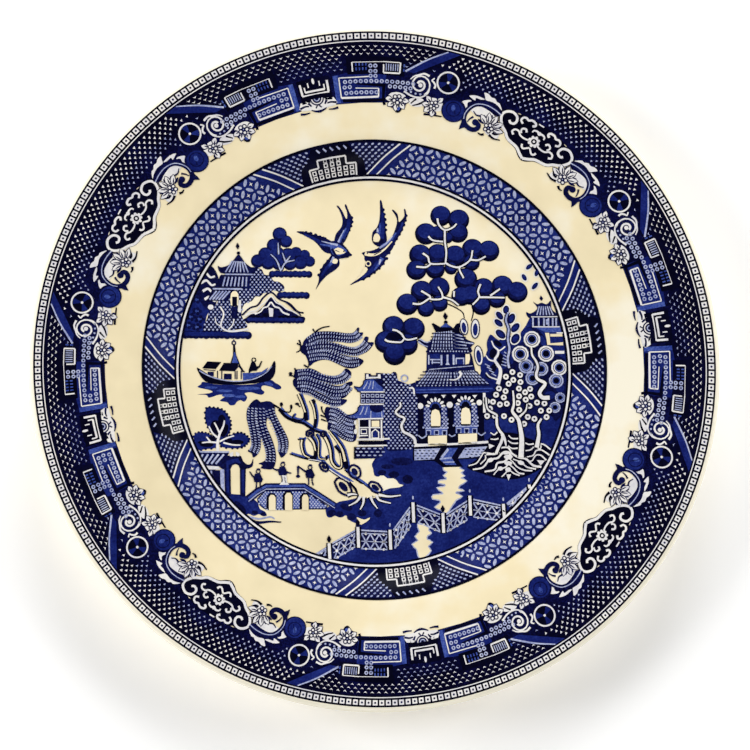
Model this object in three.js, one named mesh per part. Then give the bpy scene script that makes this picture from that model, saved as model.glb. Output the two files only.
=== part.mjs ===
// A dinner plate of glazed earthenware, jiggered in one piece from one lump of clay.
// It is one turned solid about +Z, in millimetres. The origin is the middle of the plane that the foot stands on.
// The picture and the borders are a film of ink under the glaze, a few micrometres thick, so they have no solid.
import * as THREE from "three";

// Overall sizes
const plateRadius = 130;
const plateHeight = 23;

// The flat floor of the well
const wellRadius = 68;
const floorThickness = 5;

// The verge is the curved step between the well and the rim
const vergeWidth = 24;
const vergeRise = 8.2;

// The rim ends in a full round
const rimThickness = 4;

// The foot ring, under the start of the verge
const footHeight = 2.6;
const footWidth = 4.4;
const footOverhang = 7.5; // from the edge of the flat floor out to the outside of the foot
const footRound = 0.7;
const footFillet = 1.6;

// How finely the round surfaces are divided
const turnSteps = 96;
const vergeSteps = 14;
const edgeSteps = 10;
const cornerSteps = 3;

// Places that follow from the sizes above, as (radius, height)
const floorHeight = footHeight + floorThickness;
const shoulder = new THREE.Vector2(wellRadius + vergeWidth, floorHeight + vergeRise);
const footOuter = wellRadius + footOverhang;
const footInner = footOuter - footWidth;
const edgeRadius = rimThickness / 2;
const edgeCentre = new THREE.Vector2(plateRadius - edgeRadius, plateHeight - edgeRadius);
const rimSlope = slopeOfRim();

// The rim's top face runs from the shoulder and touches the edge's round, so it climbs at this angle.
function slopeOfRim() {
  const toEdge = edgeCentre.clone().sub(shoulder);
  return Math.atan2(toEdge.y, toEdge.x) + Math.asin(edgeRadius / toEdge.length());
}

// The verge leaves the floor level and meets the rim at the rim's own slope.
function vergeCurve() {
  const handle = vergeWidth / 2;
  return new THREE.CubicBezierCurve(
    new THREE.Vector2(wellRadius, floorHeight),
    new THREE.Vector2(wellRadius + handle, floorHeight),
    new THREE.Vector2(shoulder.x - handle * Math.cos(rimSlope), shoulder.y - handle * Math.sin(rimSlope)),
    shoulder,
  );
}

// The underside of the verge keeps a wall below its top, from the floor's thickness to the rim's.
function vergeUnderside() {
  const curve = vergeCurve();
  const points = [];
  for (let i = 0; i <= vergeSteps; i++) {
    const t = i / vergeSteps;
    const along = curve.getTangent(t);
    const wall = THREE.MathUtils.lerp(floorThickness, rimThickness, t);
    points.push(curve.getPoint(t).add(new THREE.Vector2(along.y, -along.x).multiplyScalar(wall)));
  }
  return points;
}

// A quarter bend from one point to another, around the corner between them.
function bend(from, corner, to) {
  return new THREE.QuadraticBezierCurve(from, corner, to).getPoints(cornerSteps);
}

// The section of the foot ring, from its inner wall out to where the verge's underside takes over.
function footSection(meets) {
  const at = (r, z) => new THREE.Vector2(r, z);
  return [
    ...bend(at(footInner - footFillet, footHeight), at(footInner, footHeight), at(footInner, footHeight - footFillet)),
    ...bend(at(footInner, footRound), at(footInner, 0), at(footInner + footRound, 0)),
    ...bend(at(footOuter - footRound, 0), at(footOuter, 0), at(footOuter, footRound)),
    ...bend(at(footOuter, Math.min(footHeight, meets.y)), at(footOuter, meets.y), meets),
  ];
}

// The rim's round, from its underside to its top face.
function edgeSection() {
  const points = [];
  for (let i = 0; i <= edgeSteps; i++) {
    const angle = rimSlope - Math.PI / 2 + (Math.PI * i) / edgeSteps;
    const offset = new THREE.Vector2(Math.cos(angle), Math.sin(angle));
    points.push(edgeCentre.clone().addScaledVector(offset, edgeRadius));
  }
  return points;
}

// The whole section: out along the underside, round the edge, and back along the top to the axis.
function plateSection() {
  const underside = vergeUnderside().filter((p) => p.x > footOuter + footFillet);
  const top = vergeCurve().getPoints(vergeSteps).reverse();
  return [
    new THREE.Vector2(0, footHeight),
    ...footSection(underside[0]),
    ...underside.slice(1),
    ...edgeSection(),
    ...top,
    new THREE.Vector2(0, floorHeight),
  ];
}

function plateBody() {
  const geometry = new THREE.LatheGeometry(plateSection(), turnSteps);
  geometry.rotateX(Math.PI / 2);
  const ivoryGlaze = new THREE.MeshStandardMaterial({ color: 0xf3e6c4, roughness: 0.12, metalness: 0 });
  const body = new THREE.Mesh(geometry, ivoryGlaze);
  body.name = "plate_body";
  return body;
}

const plate = new THREE.Group();
plate.add(plateBody());

export default plate;
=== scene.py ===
# A glazed earthenware dinner plate with a cobalt picture printed under its glaze.
# The potter's body is turned once. The print is laid on it as the printers lay their tissues: thin sheets of
# ink, each cut to its own outline, pressed down on the biscuit and covered by the clear glaze.
import math

import bpy
from mathutils import Matrix, Vector
from mathutils.geometry import delaunay_2d_cdt


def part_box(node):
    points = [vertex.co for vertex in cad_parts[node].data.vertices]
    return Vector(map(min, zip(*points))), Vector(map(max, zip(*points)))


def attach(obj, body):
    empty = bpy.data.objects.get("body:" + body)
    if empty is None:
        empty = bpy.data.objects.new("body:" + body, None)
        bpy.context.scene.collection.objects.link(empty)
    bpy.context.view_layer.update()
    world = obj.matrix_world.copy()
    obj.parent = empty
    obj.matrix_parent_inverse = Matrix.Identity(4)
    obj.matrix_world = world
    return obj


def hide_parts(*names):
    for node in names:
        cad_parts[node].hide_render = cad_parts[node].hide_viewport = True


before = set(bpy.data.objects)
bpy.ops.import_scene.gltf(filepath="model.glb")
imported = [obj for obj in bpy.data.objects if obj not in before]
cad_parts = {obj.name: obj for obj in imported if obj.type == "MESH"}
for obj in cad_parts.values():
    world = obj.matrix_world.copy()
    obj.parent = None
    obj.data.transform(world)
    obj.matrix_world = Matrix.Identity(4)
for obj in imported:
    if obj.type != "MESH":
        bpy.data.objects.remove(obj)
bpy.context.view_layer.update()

MM = 0.001

# The turned body, in millimetres. Its radius and height are the CAD part's own.
low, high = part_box("plate_body")
PLATE_RADIUS = (high[0] - low[0]) / 2 / MM
PLATE_HEIGHT = (high[2] - low[2]) / MM
FOOT_HEIGHT = 2.6
FOOT_WIDTH = 4.4
FOOT_OVERHANG = 7.5
FOOT_ROUND = 0.7
FOOT_FILLET = 1.6
WELL_RADIUS = 68
FLOOR_THICKNESS = 5
VERGE_WIDTH = 24
VERGE_RISE = 8.2
RIM_THICKNESS = 4
TURN_STEPS = 288

# The print. A sheet of ink lies INK_LIFT above the body, and each later layer a LAYER higher.
INK_LIFT = 0.05
LAYER = 0.035
CURVED_FROM = 66
FINEST_CUT = 2.2
CARTOUCHE_AT = 55.6
PANEL_AT = 10.2
QUARTERS = (0, 90, 180, 270)
# How the tissues lie: all of them turned by SKEW degrees, the strips eased by STRETCH degrees a millimetre of
# radius, and the picture moved in millimetres and sized. The four quarters are alike when STRETCH is 0.
SKEW = 0.37
STRETCH = 0.027
STRETCH_FROM = 22
PICTURE_AT = (-0.3, -0.55)
PICTURE_SIZE = 1.008
STRIPS = ("beads", "bead_eyes", "rim_ground", "star_dots", "cartouche", "acanthus", "ball", "wheel", "sprays",
          "scroll", "strap", "key", "seam", "panel", "band_strap", "fish_scale", "linked_rings")
RINGS = ("bead_edging", "band_ground", "band_ring", "band_edges")


# ---------------------------------------------------------------- glaze and inks

def linear(colour):
    """The linear RGBA of an sRGB hex colour."""
    parts = [int(colour[i:i + 2], 16) / 255 for i in (1, 3, 5)]
    return [p / 12.92 if p <= 0.04045 else ((p + 0.055) / 1.055) ** 2.4 for p in parts] + [1]


def add(tree, kind, settings=None, **joins):
    """Adds a node, sets its inputs and properties, and links the inputs that joins names."""
    node = tree.nodes.new(kind)
    for key, value in (settings or {}).items():
        if key in node.inputs.keys():
            node.inputs[key].default_value = value
        else:
            setattr(node, key, value)
    for key, source in joins.items():
        tree.links.new(source, node.inputs[key.replace("_", " ")])
    return node


def glazed(name, tints, blotch, grain, depth, fade=None):
    """A colour under clear lead glaze. tints run from the thinnest film to the thickest, blotch is how wide a
    patch of thicker colour is and grain how wide one engraved stroke is, both in millimetres. fade is (from
    radius, to radius, change), a shift of the colour outwards: for the rim's ground ink a film that thins
    outwards, and for the ivory body a painted highlight on the rolled edge of the rim."""
    material = bpy.data.materials.new(name)
    material.use_nodes = True
    tree = material.node_tree
    shader = tree.nodes["Principled BSDF"]
    place = add(tree, "ShaderNodeTexCoord").outputs["Object"]
    patches = add(tree, "ShaderNodeTexNoise", {"Scale": 1 / (blotch * MM), "Detail": 3.0}, Vector=place)
    strokes = add(tree, "ShaderNodeTexNoise", {"Scale": 1 / (grain * MM), "Detail": 2.0}, Vector=place)
    mixed = add(tree, "ShaderNodeMix", {"data_type": "FLOAT"})
    mixed.inputs[0].default_value = depth
    tree.links.new(patches.outputs["Fac"], mixed.inputs[2])
    tree.links.new(strokes.outputs["Fac"], mixed.inputs[3])
    film = mixed.outputs[0]
    if fade:
        reach = add(tree, "ShaderNodeVectorMath", {"operation": "LENGTH"}, Vector=place).outputs["Value"]
        outward = add(tree, "ShaderNodeMapRange", {"From Min": fade[0] * MM, "From Max": fade[1] * MM,
                          "To Max": fade[2]}, Value=reach)
        # The outward shift: on the ivory body a painted highlight along the rim's rolled edge, on the rim's
        # ground ink a film that thins outwards.
        outward_tone = add(tree, "ShaderNodeMath", {"operation": "ADD"})
        tree.links.new(film, outward_tone.inputs[0])
        tree.links.new(outward.outputs["Result"], outward_tone.inputs[1])
        film = outward_tone.outputs["Value"]
    ramp = add(tree, "ShaderNodeValToRGB", Fac=film)
    band = ramp.color_ramp
    spread = [0.34, 0.5, 0.66]
    band.elements[0].position, band.elements[1].position = spread[0], spread[2]
    band.elements.new(spread[1])
    for stop, tint in zip(band.elements, tints):
        stop.color = linear(tint)
    tree.links.new(ramp.outputs["Color"], shader.inputs["Base Color"])
    # The glaze pools a little as it melts, so the gloss wavers over a few centimetres.
    pools = add(tree, "ShaderNodeTexNoise", {"Scale": 1 / (26 * MM), "Detail": 2.0}, Vector=place)
    bump = add(tree, "ShaderNodeBump", {"Strength": 0.12, "Distance": 0.3 * MM}, Height=pools.outputs["Fac"])
    tree.links.new(bump.outputs["Normal"], shader.inputs["Normal"])
    shader.inputs["Roughness"].default_value = 0.14
    shader.inputs["IOR"].default_value = 1.5
    return material


# Ivory earthenware: a warm clay body that shows through the clear glaze, a touch deeper where it is thick.
# From 127.9 to 128.9 mm out it is painted paler: a painted highlight on the rim's rolled edge.
ivory_glaze = glazed("ivory_earthenware_glaze", ["#E9DAB3", "#F3E4BD", "#F8F1DC"], 60, 9, 0.25,
                     (127.9, 128.9, 0.3))
# Cobalt ink, from the deepest cuts of the copper plate to the lightest stipple.
inks = {
    "black": glazed("cobalt_ink_deepest_cut", ["#030312", "#050519", "#080926"], 14, 0.9, 0.4),
    "navy": glazed("cobalt_ink_deep_cut", ["#070828", "#0B0E3A", "#131A52"], 9, 0.8, 0.5),
    "ground": glazed("cobalt_ink_rim_ground", ["#04041B", "#090B36", "#11174F"], 9, 0.8, 0.5,
                     (108, 124, -0.16)),
    "cobalt": glazed("cobalt_ink_even_cut", ["#0E1550", "#152063", "#223079"], 8, 0.8, 0.5),
    "blue": glazed("cobalt_ink_stipple", ["#22327C", "#374A96", "#5568AC"], 5, 0.7, 0.6),
    "pale": glazed("cobalt_ink_pale_stipple", ["#7F88B6", "#A5ACCE", "#C6CADF"], 6, 0.8, 0.6),
    # Where the copper plate was left uncut, the body shows, a little cooled by the ink that bleeds round it.
    "white": glazed("uncut_ground_white", ["#D3D1D6", "#E4E1E0", "#F0ECE4"], 8, 1.2, 0.4),
    "cream": glazed("uncut_ground_cream", ["#E6D6AF", "#F1E2BC", "#F6E9C8"], 30, 5, 0.25),
}


# ---------------------------------------------------------------- the turned body

def bezier(a, b, c, d, steps):
    """Points of a cubic curve from a to d, both ends included."""
    found = []
    for i in range(steps + 1):
        t = i / steps
        u = 1 - t
        found.append(a * u ** 3 + b * 3 * u * u * t + c * 3 * u * t * t + d * t ** 3)
    return found


def rim_slope(shoulder, edge):
    """The angle at which the rim rises from the shoulder to touch the top of its rounded edge."""
    reach = edge - shoulder
    return math.atan2(reach.y, reach.x) + math.asin(RIM_THICKNESS / 2 / reach.length)


def plate_section():
    """The section of the wall, from the axis on top, out over the edge and back under the foot."""
    floor = FOOT_HEIGHT + FLOOR_THICKNESS
    shoulder = Vector((WELL_RADIUS + VERGE_WIDTH, floor + VERGE_RISE))
    edge = Vector((PLATE_RADIUS - RIM_THICKNESS / 2, PLATE_HEIGHT - RIM_THICKNESS / 2))
    slope = rim_slope(shoulder, edge)
    along = Vector((math.cos(slope), math.sin(slope)))
    handle = VERGE_WIDTH / 2
    start = Vector((WELL_RADIUS, floor))
    top = [Vector((r, floor)) for r in (0, 17, 34, 51)]
    verge = bezier(start, start + Vector((handle, 0)), shoulder - along * handle, shoulder, 28)
    top += verge
    tangent = edge + Vector((-along.y, along.x)) * RIM_THICKNESS / 2
    top += [shoulder.lerp(tangent, i / 8) for i in range(1, 8)]
    round_edge = []
    for i in range(17):
        turn = slope + math.pi / 2 - math.pi * i / 16
        round_edge.append(edge + Vector((math.cos(turn), math.sin(turn))) * RIM_THICKNESS / 2)
    under = []
    for i, point in enumerate(reversed(verge)):
        share = 1 - i / (len(verge) - 1)
        before = verge[max(len(verge) - 2 - i, 0)]
        after = verge[min(len(verge) - i, len(verge) - 1)]
        way = (after - before).normalized()
        wall = FLOOR_THICKNESS + (RIM_THICKNESS - FLOOR_THICKNESS) * share
        below = point - Vector((-way.y, way.x)) * wall
        if below.x > WELL_RADIUS + FOOT_OVERHANG + FOOT_FILLET:
            under.append(below)
    outer = WELL_RADIUS + FOOT_OVERHANG
    inner = outer - FOOT_WIDTH
    foot = [Vector((outer, under[-1].y - FOOT_FILLET))]
    foot += [Vector((outer, FOOT_ROUND)), Vector((outer - FOOT_ROUND * 0.3, FOOT_ROUND * 0.3))]
    foot += [Vector((outer - FOOT_ROUND, 0)), Vector((inner + FOOT_ROUND, 0))]
    foot += [Vector((inner + FOOT_ROUND * 0.3, FOOT_ROUND * 0.3)), Vector((inner, FOOT_ROUND))]
    foot += [Vector((inner, FOOT_HEIGHT - FOOT_FILLET)),
             Vector((inner - FOOT_FILLET * 0.3, FOOT_HEIGHT - 0.45))]
    foot += [Vector((inner - FOOT_FILLET, FOOT_HEIGHT)), Vector((0, FOOT_HEIGHT))]
    return top + round_edge + under + foot


def alone(piece):
    """Leaves piece as the one selected and active object."""
    bpy.ops.object.select_all(action="DESELECT")
    piece.select_set(True)
    bpy.context.view_layer.objects.active = piece


def turned_body():
    """The body, spun from its section in one turn, as a jigger turns it."""
    mesh = bpy.data.meshes.new("turned_body")
    points = [(p.x * MM, 0, p.y * MM) for p in plate_section()]
    mesh.from_pydata(points, [(i, i + 1) for i in range(len(points) - 1)], [])
    body = bpy.data.objects.new("turned_body", mesh)
    bpy.context.collection.objects.link(body)
    alone(body)
    bpy.ops.object.mode_set(mode="EDIT")
    bpy.ops.mesh.select_all(action="SELECT")
    bpy.ops.mesh.spin(steps=TURN_STEPS, angle=math.tau, center=(0, 0, 0), axis=(0, 0, 1))
    bpy.ops.mesh.select_all(action="SELECT")
    bpy.ops.mesh.remove_doubles(threshold=0.01 * MM)
    bpy.ops.mesh.normals_make_consistent(inside=False)
    bpy.ops.object.mode_set(mode="OBJECT")
    bpy.ops.object.shade_smooth_by_angle(angle=math.radians(50))
    mesh.materials.append(ivory_glaze)
    return body


body = turned_body()
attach(body, "root")
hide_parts("plate_body")


# ---------------------------------------------------------------- outlines, in millimetres

def at(degrees, radius):
    """The point at an angle from the right-hand side and a radius."""
    turn = math.radians(degrees)
    return (radius * math.cos(turn), radius * math.sin(turn))


def rounds(*places):
    """Points of places given as angle and radius."""
    return [at(*place) for place in places]


def smooth(points, closed=True, cuts=4):
    """A soft line through given points."""
    points = [Vector(p) for p in points]
    count = len(points)
    if not closed:
        points = [points[0] * 2 - points[1]] + points + [points[-1] * 2 - points[-2]]
    found = []
    for i in range(count if closed else count - 1):
        a, b, c, d = (points[(i + k - (1 if closed else 0)) % len(points)] for k in range(4))
        for step in range(cuts):
            t = step / cuts
            found.append(0.5 * (2 * b + (c - a) * t + (2 * a - 5 * b + 4 * c - d) * t * t
                                + (3 * b - a - 3 * c + d) * t ** 3))
    if not closed:
        found.append(points[-2])
    return [tuple(p) for p in found]


def disc(x, y, r, across=None, turn=0, steps=None):
    """A round or oval spot."""
    across = across or r
    steps = steps or max(6, min(32, int(6 + r * 5)))
    c, s = math.cos(math.radians(turn)), math.sin(math.radians(turn))
    ring = [(r * math.cos(math.tau * i / steps), across * math.sin(math.tau * i / steps))
            for i in range(steps)]
    return [(x + u * c - v * s, y + u * s + v * c) for u, v in ring]


def stroke(points, width, tip=None, soft=True, cuts=4):
    """A brush line along points, width wide at its start and tip wide at its end."""
    tip = width if tip is None else tip
    way = [Vector(p) for p in (smooth(points, False, cuts) if soft and len(points) > 2 else points)]
    left, right = [], []
    for i, p in enumerate(way):
        along = (way[min(i + 1, len(way) - 1)] - way[max(i - 1, 0)]).normalized()
        half = (width + (tip - width) * i / (len(way) - 1)) / 2
        side = Vector((-along.y, along.x)) * half
        left.append(tuple(p + side))
        right.append(tuple(p - side))
    return left + right[::-1]


def moved(outline, x=0, y=0, turn=0, flip=False, size=1):
    """A copy of an outline, flipped, sized, turned and then moved."""
    c, s = math.cos(math.radians(turn)) * size, math.sin(math.radians(turn)) * size
    side = -1 if flip else 1
    return [(x + u * side * c - v * s, y + u * side * s + v * c) for u, v in outline]


def mirrored(outline):
    """The outline on the other side of the sector's own axis, which is the X axis."""
    return [(x, -y) for x, y in outline]


def box(x0, y0, x1, y1):
    """An upright rectangle."""
    return [(x0, y0), (x1, y0), (x1, y1), (x0, y1)]


# ---------------------------------------------------------------- laying the ink

tissues = {}


def lay(motif, ink, layer, *patches):
    """Adds patches to a motif's sheet of one ink. A patch is an outline, or an outline and its holes."""
    tissues.setdefault((motif, ink), {}).setdefault(layer, []).extend(patches)


def is_outline(patch):
    """Whether a patch is one outline, and not an outline with its holes."""
    return isinstance(patch[0][0], (int, float))


def around(motif, ink, layer, *patches, start=0, turns=QUARTERS, both=True):
    """Lays patches that were drawn beside the X axis in each quarter of the border, and mirrored."""
    for patch in patches:
        loops = [patch] if is_outline(patch) else patch
        for turn in turns:
            lay(motif, ink, layer, [moved(loop, turn=start + turn) for loop in loops])
            if both:
                lay(motif, ink, layer, [moved(mirrored(loop), turn=start + turn) for loop in loops])


def cut_fine(loop):
    """The loop with its long edges divided, so that the sheet bends to the verge and the rim."""
    found = []
    for i, (x, y) in enumerate(loop):
        u, v = loop[(i + 1) % len(loop)]
        found.append((x, y))
        if max(math.hypot(x, y), math.hypot(u, v)) > CURVED_FROM:
            parts = math.ceil(math.hypot(u - x, v - y) / FINEST_CUT)
            found += [(x + (u - x) * k / parts, y + (v - y) * k / parts) for k in range(1, parts)]
    return found


def clockwise(loop):
    """Whether an outline runs clockwise."""
    return sum(a[0] * b[1] - b[0] * a[1] for a, b in zip(loop, loop[1:] + loop[:1])) < 0


def grid_points(left, bottom, right, top):
    """Points on rings of the verge and rim, inside a box, which divide a wide sheet."""
    found = []
    radius = CURVED_FROM
    while radius < PLATE_RADIUS:
        count = int(math.tau * radius / FINEST_CUT / 1.3)
        for i in range(count):
            x, y = at(360 * i / count, radius)
            if left < x < right and bottom < y < top:
                found.append((x, y))
        radius += FINEST_CUT * 0.8
    return found


def filled(patches):
    """Flat triangles that cover the patches: (points, triangles)."""
    points, loops, owners = [], [], []
    wide = False
    for number, patch in enumerate(patches):
        for place, loop in enumerate([patch] if is_outline(patch) else patch):
            loop = cut_fine(loop)
            if clockwise(loop):
                loop = loop[::-1]
            loops.append(list(range(len(points), len(points) + len(loop))))
            points += loop
            owners.append((number, place > 0))
            xs, ys = [p[0] for p in loop], [p[1] for p in loop]
            size = min(max(xs) - min(xs), max(ys) - min(ys))
            if size > FINEST_CUT * 1.5 and max(math.hypot(*p) for p in loop) > CURVED_FROM:
                wide = True
    if wide:
        xs, ys = [p[0] for p in points], [p[1] for p in points]
        points = points + grid_points(min(xs), min(ys), max(xs), max(ys))
    made = delaunay_2d_cdt([Vector(p) for p in points], [], loops, 1, 1e-5, True)
    flat, faces, sources = made[0], made[2], made[5]
    kept = []
    for face, source in zip(faces, sources):
        inside = {}
        for loop in source:
            number, hole = owners[loop]
            inside[number] = inside.get(number, True) and not hole
        if any(inside.values()):
            kept.append(face)
    return flat, kept


def drape(sheet, lift):
    """Presses a flat sheet down on the body and takes over the body's smooth shading."""
    alone(sheet)
    press = sheet.modifiers.new("press", "SHRINKWRAP")
    press.target = body
    press.wrap_method = "PROJECT"
    press.use_project_z = True
    press.use_negative_direction = True
    press.use_positive_direction = False
    bpy.ops.object.modifier_apply(modifier="press")
    shade = sheet.modifiers.new("shade", "DATA_TRANSFER")
    shade.object = body
    shade.use_loop_data = True
    shade.data_types_loops = {"CUSTOM_NORMAL"}
    shade.loop_mapping = "POLYINTERP_NEAREST"
    bpy.ops.object.modifier_apply(modifier="shade")
    for vertex, rise in zip(sheet.data.vertices, lift):
        vertex.co.z += rise


def eased(point):
    """A point of the border or band as STRETCH lays it: wide at the upper right, tight at the lower left."""
    x, y = point
    radius = math.hypot(x, y)
    turn = math.degrees(math.atan2(y, x))
    return at(turn + SKEW - STRETCH * radius * math.cos(math.radians(turn + STRETCH_FROM)), radius)


def settled(motif, patch):
    """A patch as it lies on the plate: strips eased, rings as drawn, and the picture moved and sized."""
    loops = [patch] if is_outline(patch) else patch
    if motif in STRIPS:
        return [[eased(point) for point in loop] for loop in loops]
    if motif in RINGS:
        return loops
    return [moved(loop, *PICTURE_AT, SKEW, size=PICTURE_SIZE) for loop in loops]


def press_tissues():
    """Makes each motif's sheet of one ink, and lays it on the body."""
    for (motif, ink), layers in tissues.items():
        points, faces, lift = [], [], []
        for layer, patches in layers.items():
            flat, found = filled([settled(motif, patch) for patch in patches])
            used = sorted({i for face in found for i in face})
            place = {old: len(points) + new for new, old in enumerate(used)}
            points += [(flat[i].x * MM, flat[i].y * MM, PLATE_HEIGHT * 2 * MM) for i in used]
            lift += [(INK_LIFT + LAYER * layer) * MM] * len(used)
            faces += [[place[i] for i in face] for face in found]
        mesh = bpy.data.meshes.new(f"{motif}_{ink}")
        mesh.from_pydata(points, [], faces)
        mesh.polygons.foreach_set("use_smooth", [True] * len(faces))
        mesh.materials.append(inks[ink])
        sheet = bpy.data.objects.new(f"{motif}_{ink}", mesh)
        bpy.context.collection.objects.link(sheet)
        drape(sheet, lift)
        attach(sheet, "root")


def ring(inner, outer, start=0, end=360):
    """A ring about the axis, or a stretch of one."""
    steps = max(2, int((end - start) * math.radians(1) * outer / FINEST_CUT))
    out = [at(start + (end - start) * i / steps, outer) for i in range(steps + 1)]
    back = [at(start + (end - start) * i / steps, inner) for i in range(steps + 1)]
    if end - start == 360:
        return [out[:-1], back[:-1]]
    return out + back[::-1]


def contour(outline, width):
    """A line of this width that follows a closed outline, as an outline and its hole."""
    way = [Vector(p) for p in outline]
    sides = ([], [])
    for i, p in enumerate(way):
        along = (way[(i + 1) % len(way)] - way[i - 1]).normalized()
        side = Vector((-along.y, along.x)) * width / 2
        sides[0].append(tuple(p + side))
        sides[1].append(tuple(p - side))
    return list(sides) if clockwise(outline) else [sides[1], sides[0]]


# ---------------------------------------------------------------- the rim's border

BEADS = 308
COLUMNS = 288
DOT_ROW = 1.38


def bead_edging():
    """The outermost edging: square beads on a dark line, and a white line inside it."""
    steps = (124.8, 126, 127.2, 127.8, 128.2)
    lay("bead_edging", "black", 0, *[ring(inner, outer) for inner, outer in zip(steps, steps[1:])],
        ring(123.9, 124.45))
    for i in range(BEADS):
        turn = 360 * (i + 0.5) / BEADS
        sides = (125.55, 126.5, 127.5)
        bead = [at(turn - 0.43, r) for r in sides] + [at(turn + 0.43, r) for r in sides[::-1]]
        lay("beads", "white", 3, bead)
        lay("bead_eyes", "navy", 4, disc(*at(turn, 126.55), 0.44, steps=6))
    lay("bead_edging", "white", 1, ring(124.44, 124.8))


def star_dots():
    """Rows of star dots that fade towards the middle of each quarter."""
    lay("rim_ground", "ground", 0, *quarter_grounds())
    for row in range(9):
        radius = 122.7 - DOT_ROW * row
        for column in range(COLUMNS):
            turn = 360 * (column + row % 2 / 2) / COLUMNS
            from_cartouche = abs((turn - CARTOUCHE_AT + 45) % 90 - 45)
            if dot_shows(from_cartouche, radius):
                x, y = at(turn, radius)
                ink = "white" if row < 4 else "pale"
                if from_cartouche < 22:
                    size = 0.92 - 0.035 * row
                    dot = [(-0.42, -0.62), (0.62, -0.05), (0.62, 0.08), (-0.42, 0.5)]
                    lay("star_dots", ink, 1, moved(dot, x, y, turn - 55, size=size))
                else:
                    chevron = [(-0.4, -0.9), (0.5, -0.05), (-0.3, 0.8), (-0.05, 0.05)]
                    lay("star_dots", ink, 1, moved(chevron, x, y, turn + 180, size=0.9 - 0.03 * row))


def dot_shows(turn, radius):
    """Whether the dotted ground is bare at this angle from the cartouche."""
    if radius < 114.2 and turn < 6:
        return False
    if turn < 16 and radius < 113.9:
        return False
    if turn < 22 and radius < 110:
        return False
    if abs(turn - 19.6) < 2.4 and abs(radius - 112.8) < 4.7:
        return False
    edge = 20.4 + (124.3 - radius) * 0.71
    if edge - 3.1 < turn < edge + 0.5:
        return False
    if turn > 27.6 and turn < 38.8 and radius < 119.3:
        return False
    if turn > 38.8 and radius < 113.5:
        return False
    return not (20 < turn < 28 and radius < 115)


def quarter_grounds():
    """The dark ground of the border, cut to the edge of the ornaments that stand on it."""
    edge = [(0, 112.4), (5.2, 112.2), (8, 110.5), (8.6, 107.5), (9.5, 106.8), (11.5, 108), (14.5, 105.5),
            (15.5, 101.2), (17.3, 99), (19.2, 101), (19.6, 103.5), (21.5, 104), (24, 102.3), (27, 104),
            (28.5, 103.5), (31, 101.8), (36, 101.7), (41.3, 101.7), (41.8, 103.6), (45, 104.2)]
    grounds = []
    for quarter in QUARTERS:
        for side in (1, -1):
            line = [at(CARTOUCHE_AT + quarter + side * t, r) for t, r in edge]
            steps = 24
            outer = [at(CARTOUCHE_AT + quarter + side * 45 * i / steps, 124.1) for i in range(steps, -1, -1)]
            grounds.append(line + outer)
    return grounds


def cartouche():
    """The dark pointed shield with its white scrolls."""
    half = rounds((0, 97.6), (1.2, 98.4), (2.5, 100.1), (4.9, 101.2), (6.1, 103.2), (7.3, 104.8), (8.3, 107),
                  (8.5, 109), (8, 110.9), (6.6, 112.1), (5.2, 111.8), (4.6, 112.4), (3.9, 112.6),
                  (3.1, 112.3), (2.4, 113), (0, 113))
    other = [(x, -y) for x, y in half[1:-1]][::-1]
    around("cartouche", "black", 1, smooth(half + other, cuts=3), start=CARTOUCHE_AT, both=False)
    rim = rounds((0, 98.4), (1.2, 99.5), (2.4, 100.8), (4.7, 101.7), (5.8, 103.5), (7, 105), (7.8, 107.1),
                 (8, 109), (7.5, 110.5), (6.4, 111.4), (5.3, 110.6), (4.95, 109), (5.2, 107.8), (5.9, 107.5),
                 (6.3, 108.2))
    curl = rounds((3.7, 109.5), (4.3, 110.2), (4.2, 111.5), (3.6, 112), (3.1, 111.6), (2.5, 112.3),
                  (1.7, 112.1), (1.45, 111.2), (1.9, 110.5))
    scroll = rounds((4.2, 104.2), (4.75, 105), (4.4, 106.2), (3.6, 106.3), (3, 105.3), (2, 105), (1, 105.4))
    crook = rounds((2.2, 107.4), (2.6, 108.3), (3.2, 107.9), (3.3, 107), (3, 106.2))
    foot = rounds((1.7, 102.9), (1.5, 102), (1, 101.7), (0.4, 102.6), (0, 103.2))
    bud = rounds((1.3, 108.6), (1.2, 109.5), (0.6, 109.9), (0, 109.5))
    around("cartouche", "white", 2, stroke(rim, 1.05, 0.9, cuts=3), stroke(curl, 0.75, 0.9, cuts=3),
           stroke(scroll, 0.8, 0.6, cuts=3), stroke(crook, 0.8, 0.6, cuts=3), stroke(foot, 0.8, 0.6, cuts=3),
           stroke(bud, 0.5, 0.9, cuts=3), start=CARTOUCHE_AT)
    flower = [disc(106 + 1.75 * math.cos(a), 1.75 * math.sin(a), 0.55, steps=8)
              for a in (math.tau * i / 8 for i in range(8))]
    around("cartouche", "white", 2, disc(106, 0, 1.75, steps=20), *flower,
           stroke(rounds((1.1, 112.5), (0, 112.6)), 0.5), disc(109.6, 0, 0.75, steps=8), start=CARTOUCHE_AT,
           both=False)
    around("cartouche", "black", 3, disc(106, 0, 1.05, steps=12), start=CARTOUCHE_AT, both=False)
    around("cartouche", "white", 4, disc(106, 0, 0.5, steps=8), start=CARTOUCHE_AT, both=False)


def small_flower(motif, turn, radius, size):
    """A five-petalled flower, seen from above."""
    x, y = at(turn, radius)
    petals = [(x + 1.05 * size * math.cos(a), y + 1.05 * size * math.sin(a)) for a in
              (math.tau * i / 5 for i in range(5))]
    around(motif, "navy", 4, *[disc(u, v, 0.76 * size, steps=9) for u, v in petals], start=CARTOUCHE_AT)
    around(motif, "white", 5, *[disc(u, v, 0.42 * size, steps=8) for u, v in petals], start=CARTOUCHE_AT)
    around(motif, "navy", 6, disc(x, y, 0.62 * size, steps=8), start=CARTOUCHE_AT)
    around(motif, "pale", 7, disc(x, y, 0.2 * size, steps=6), start=CARTOUCHE_AT)


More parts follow.
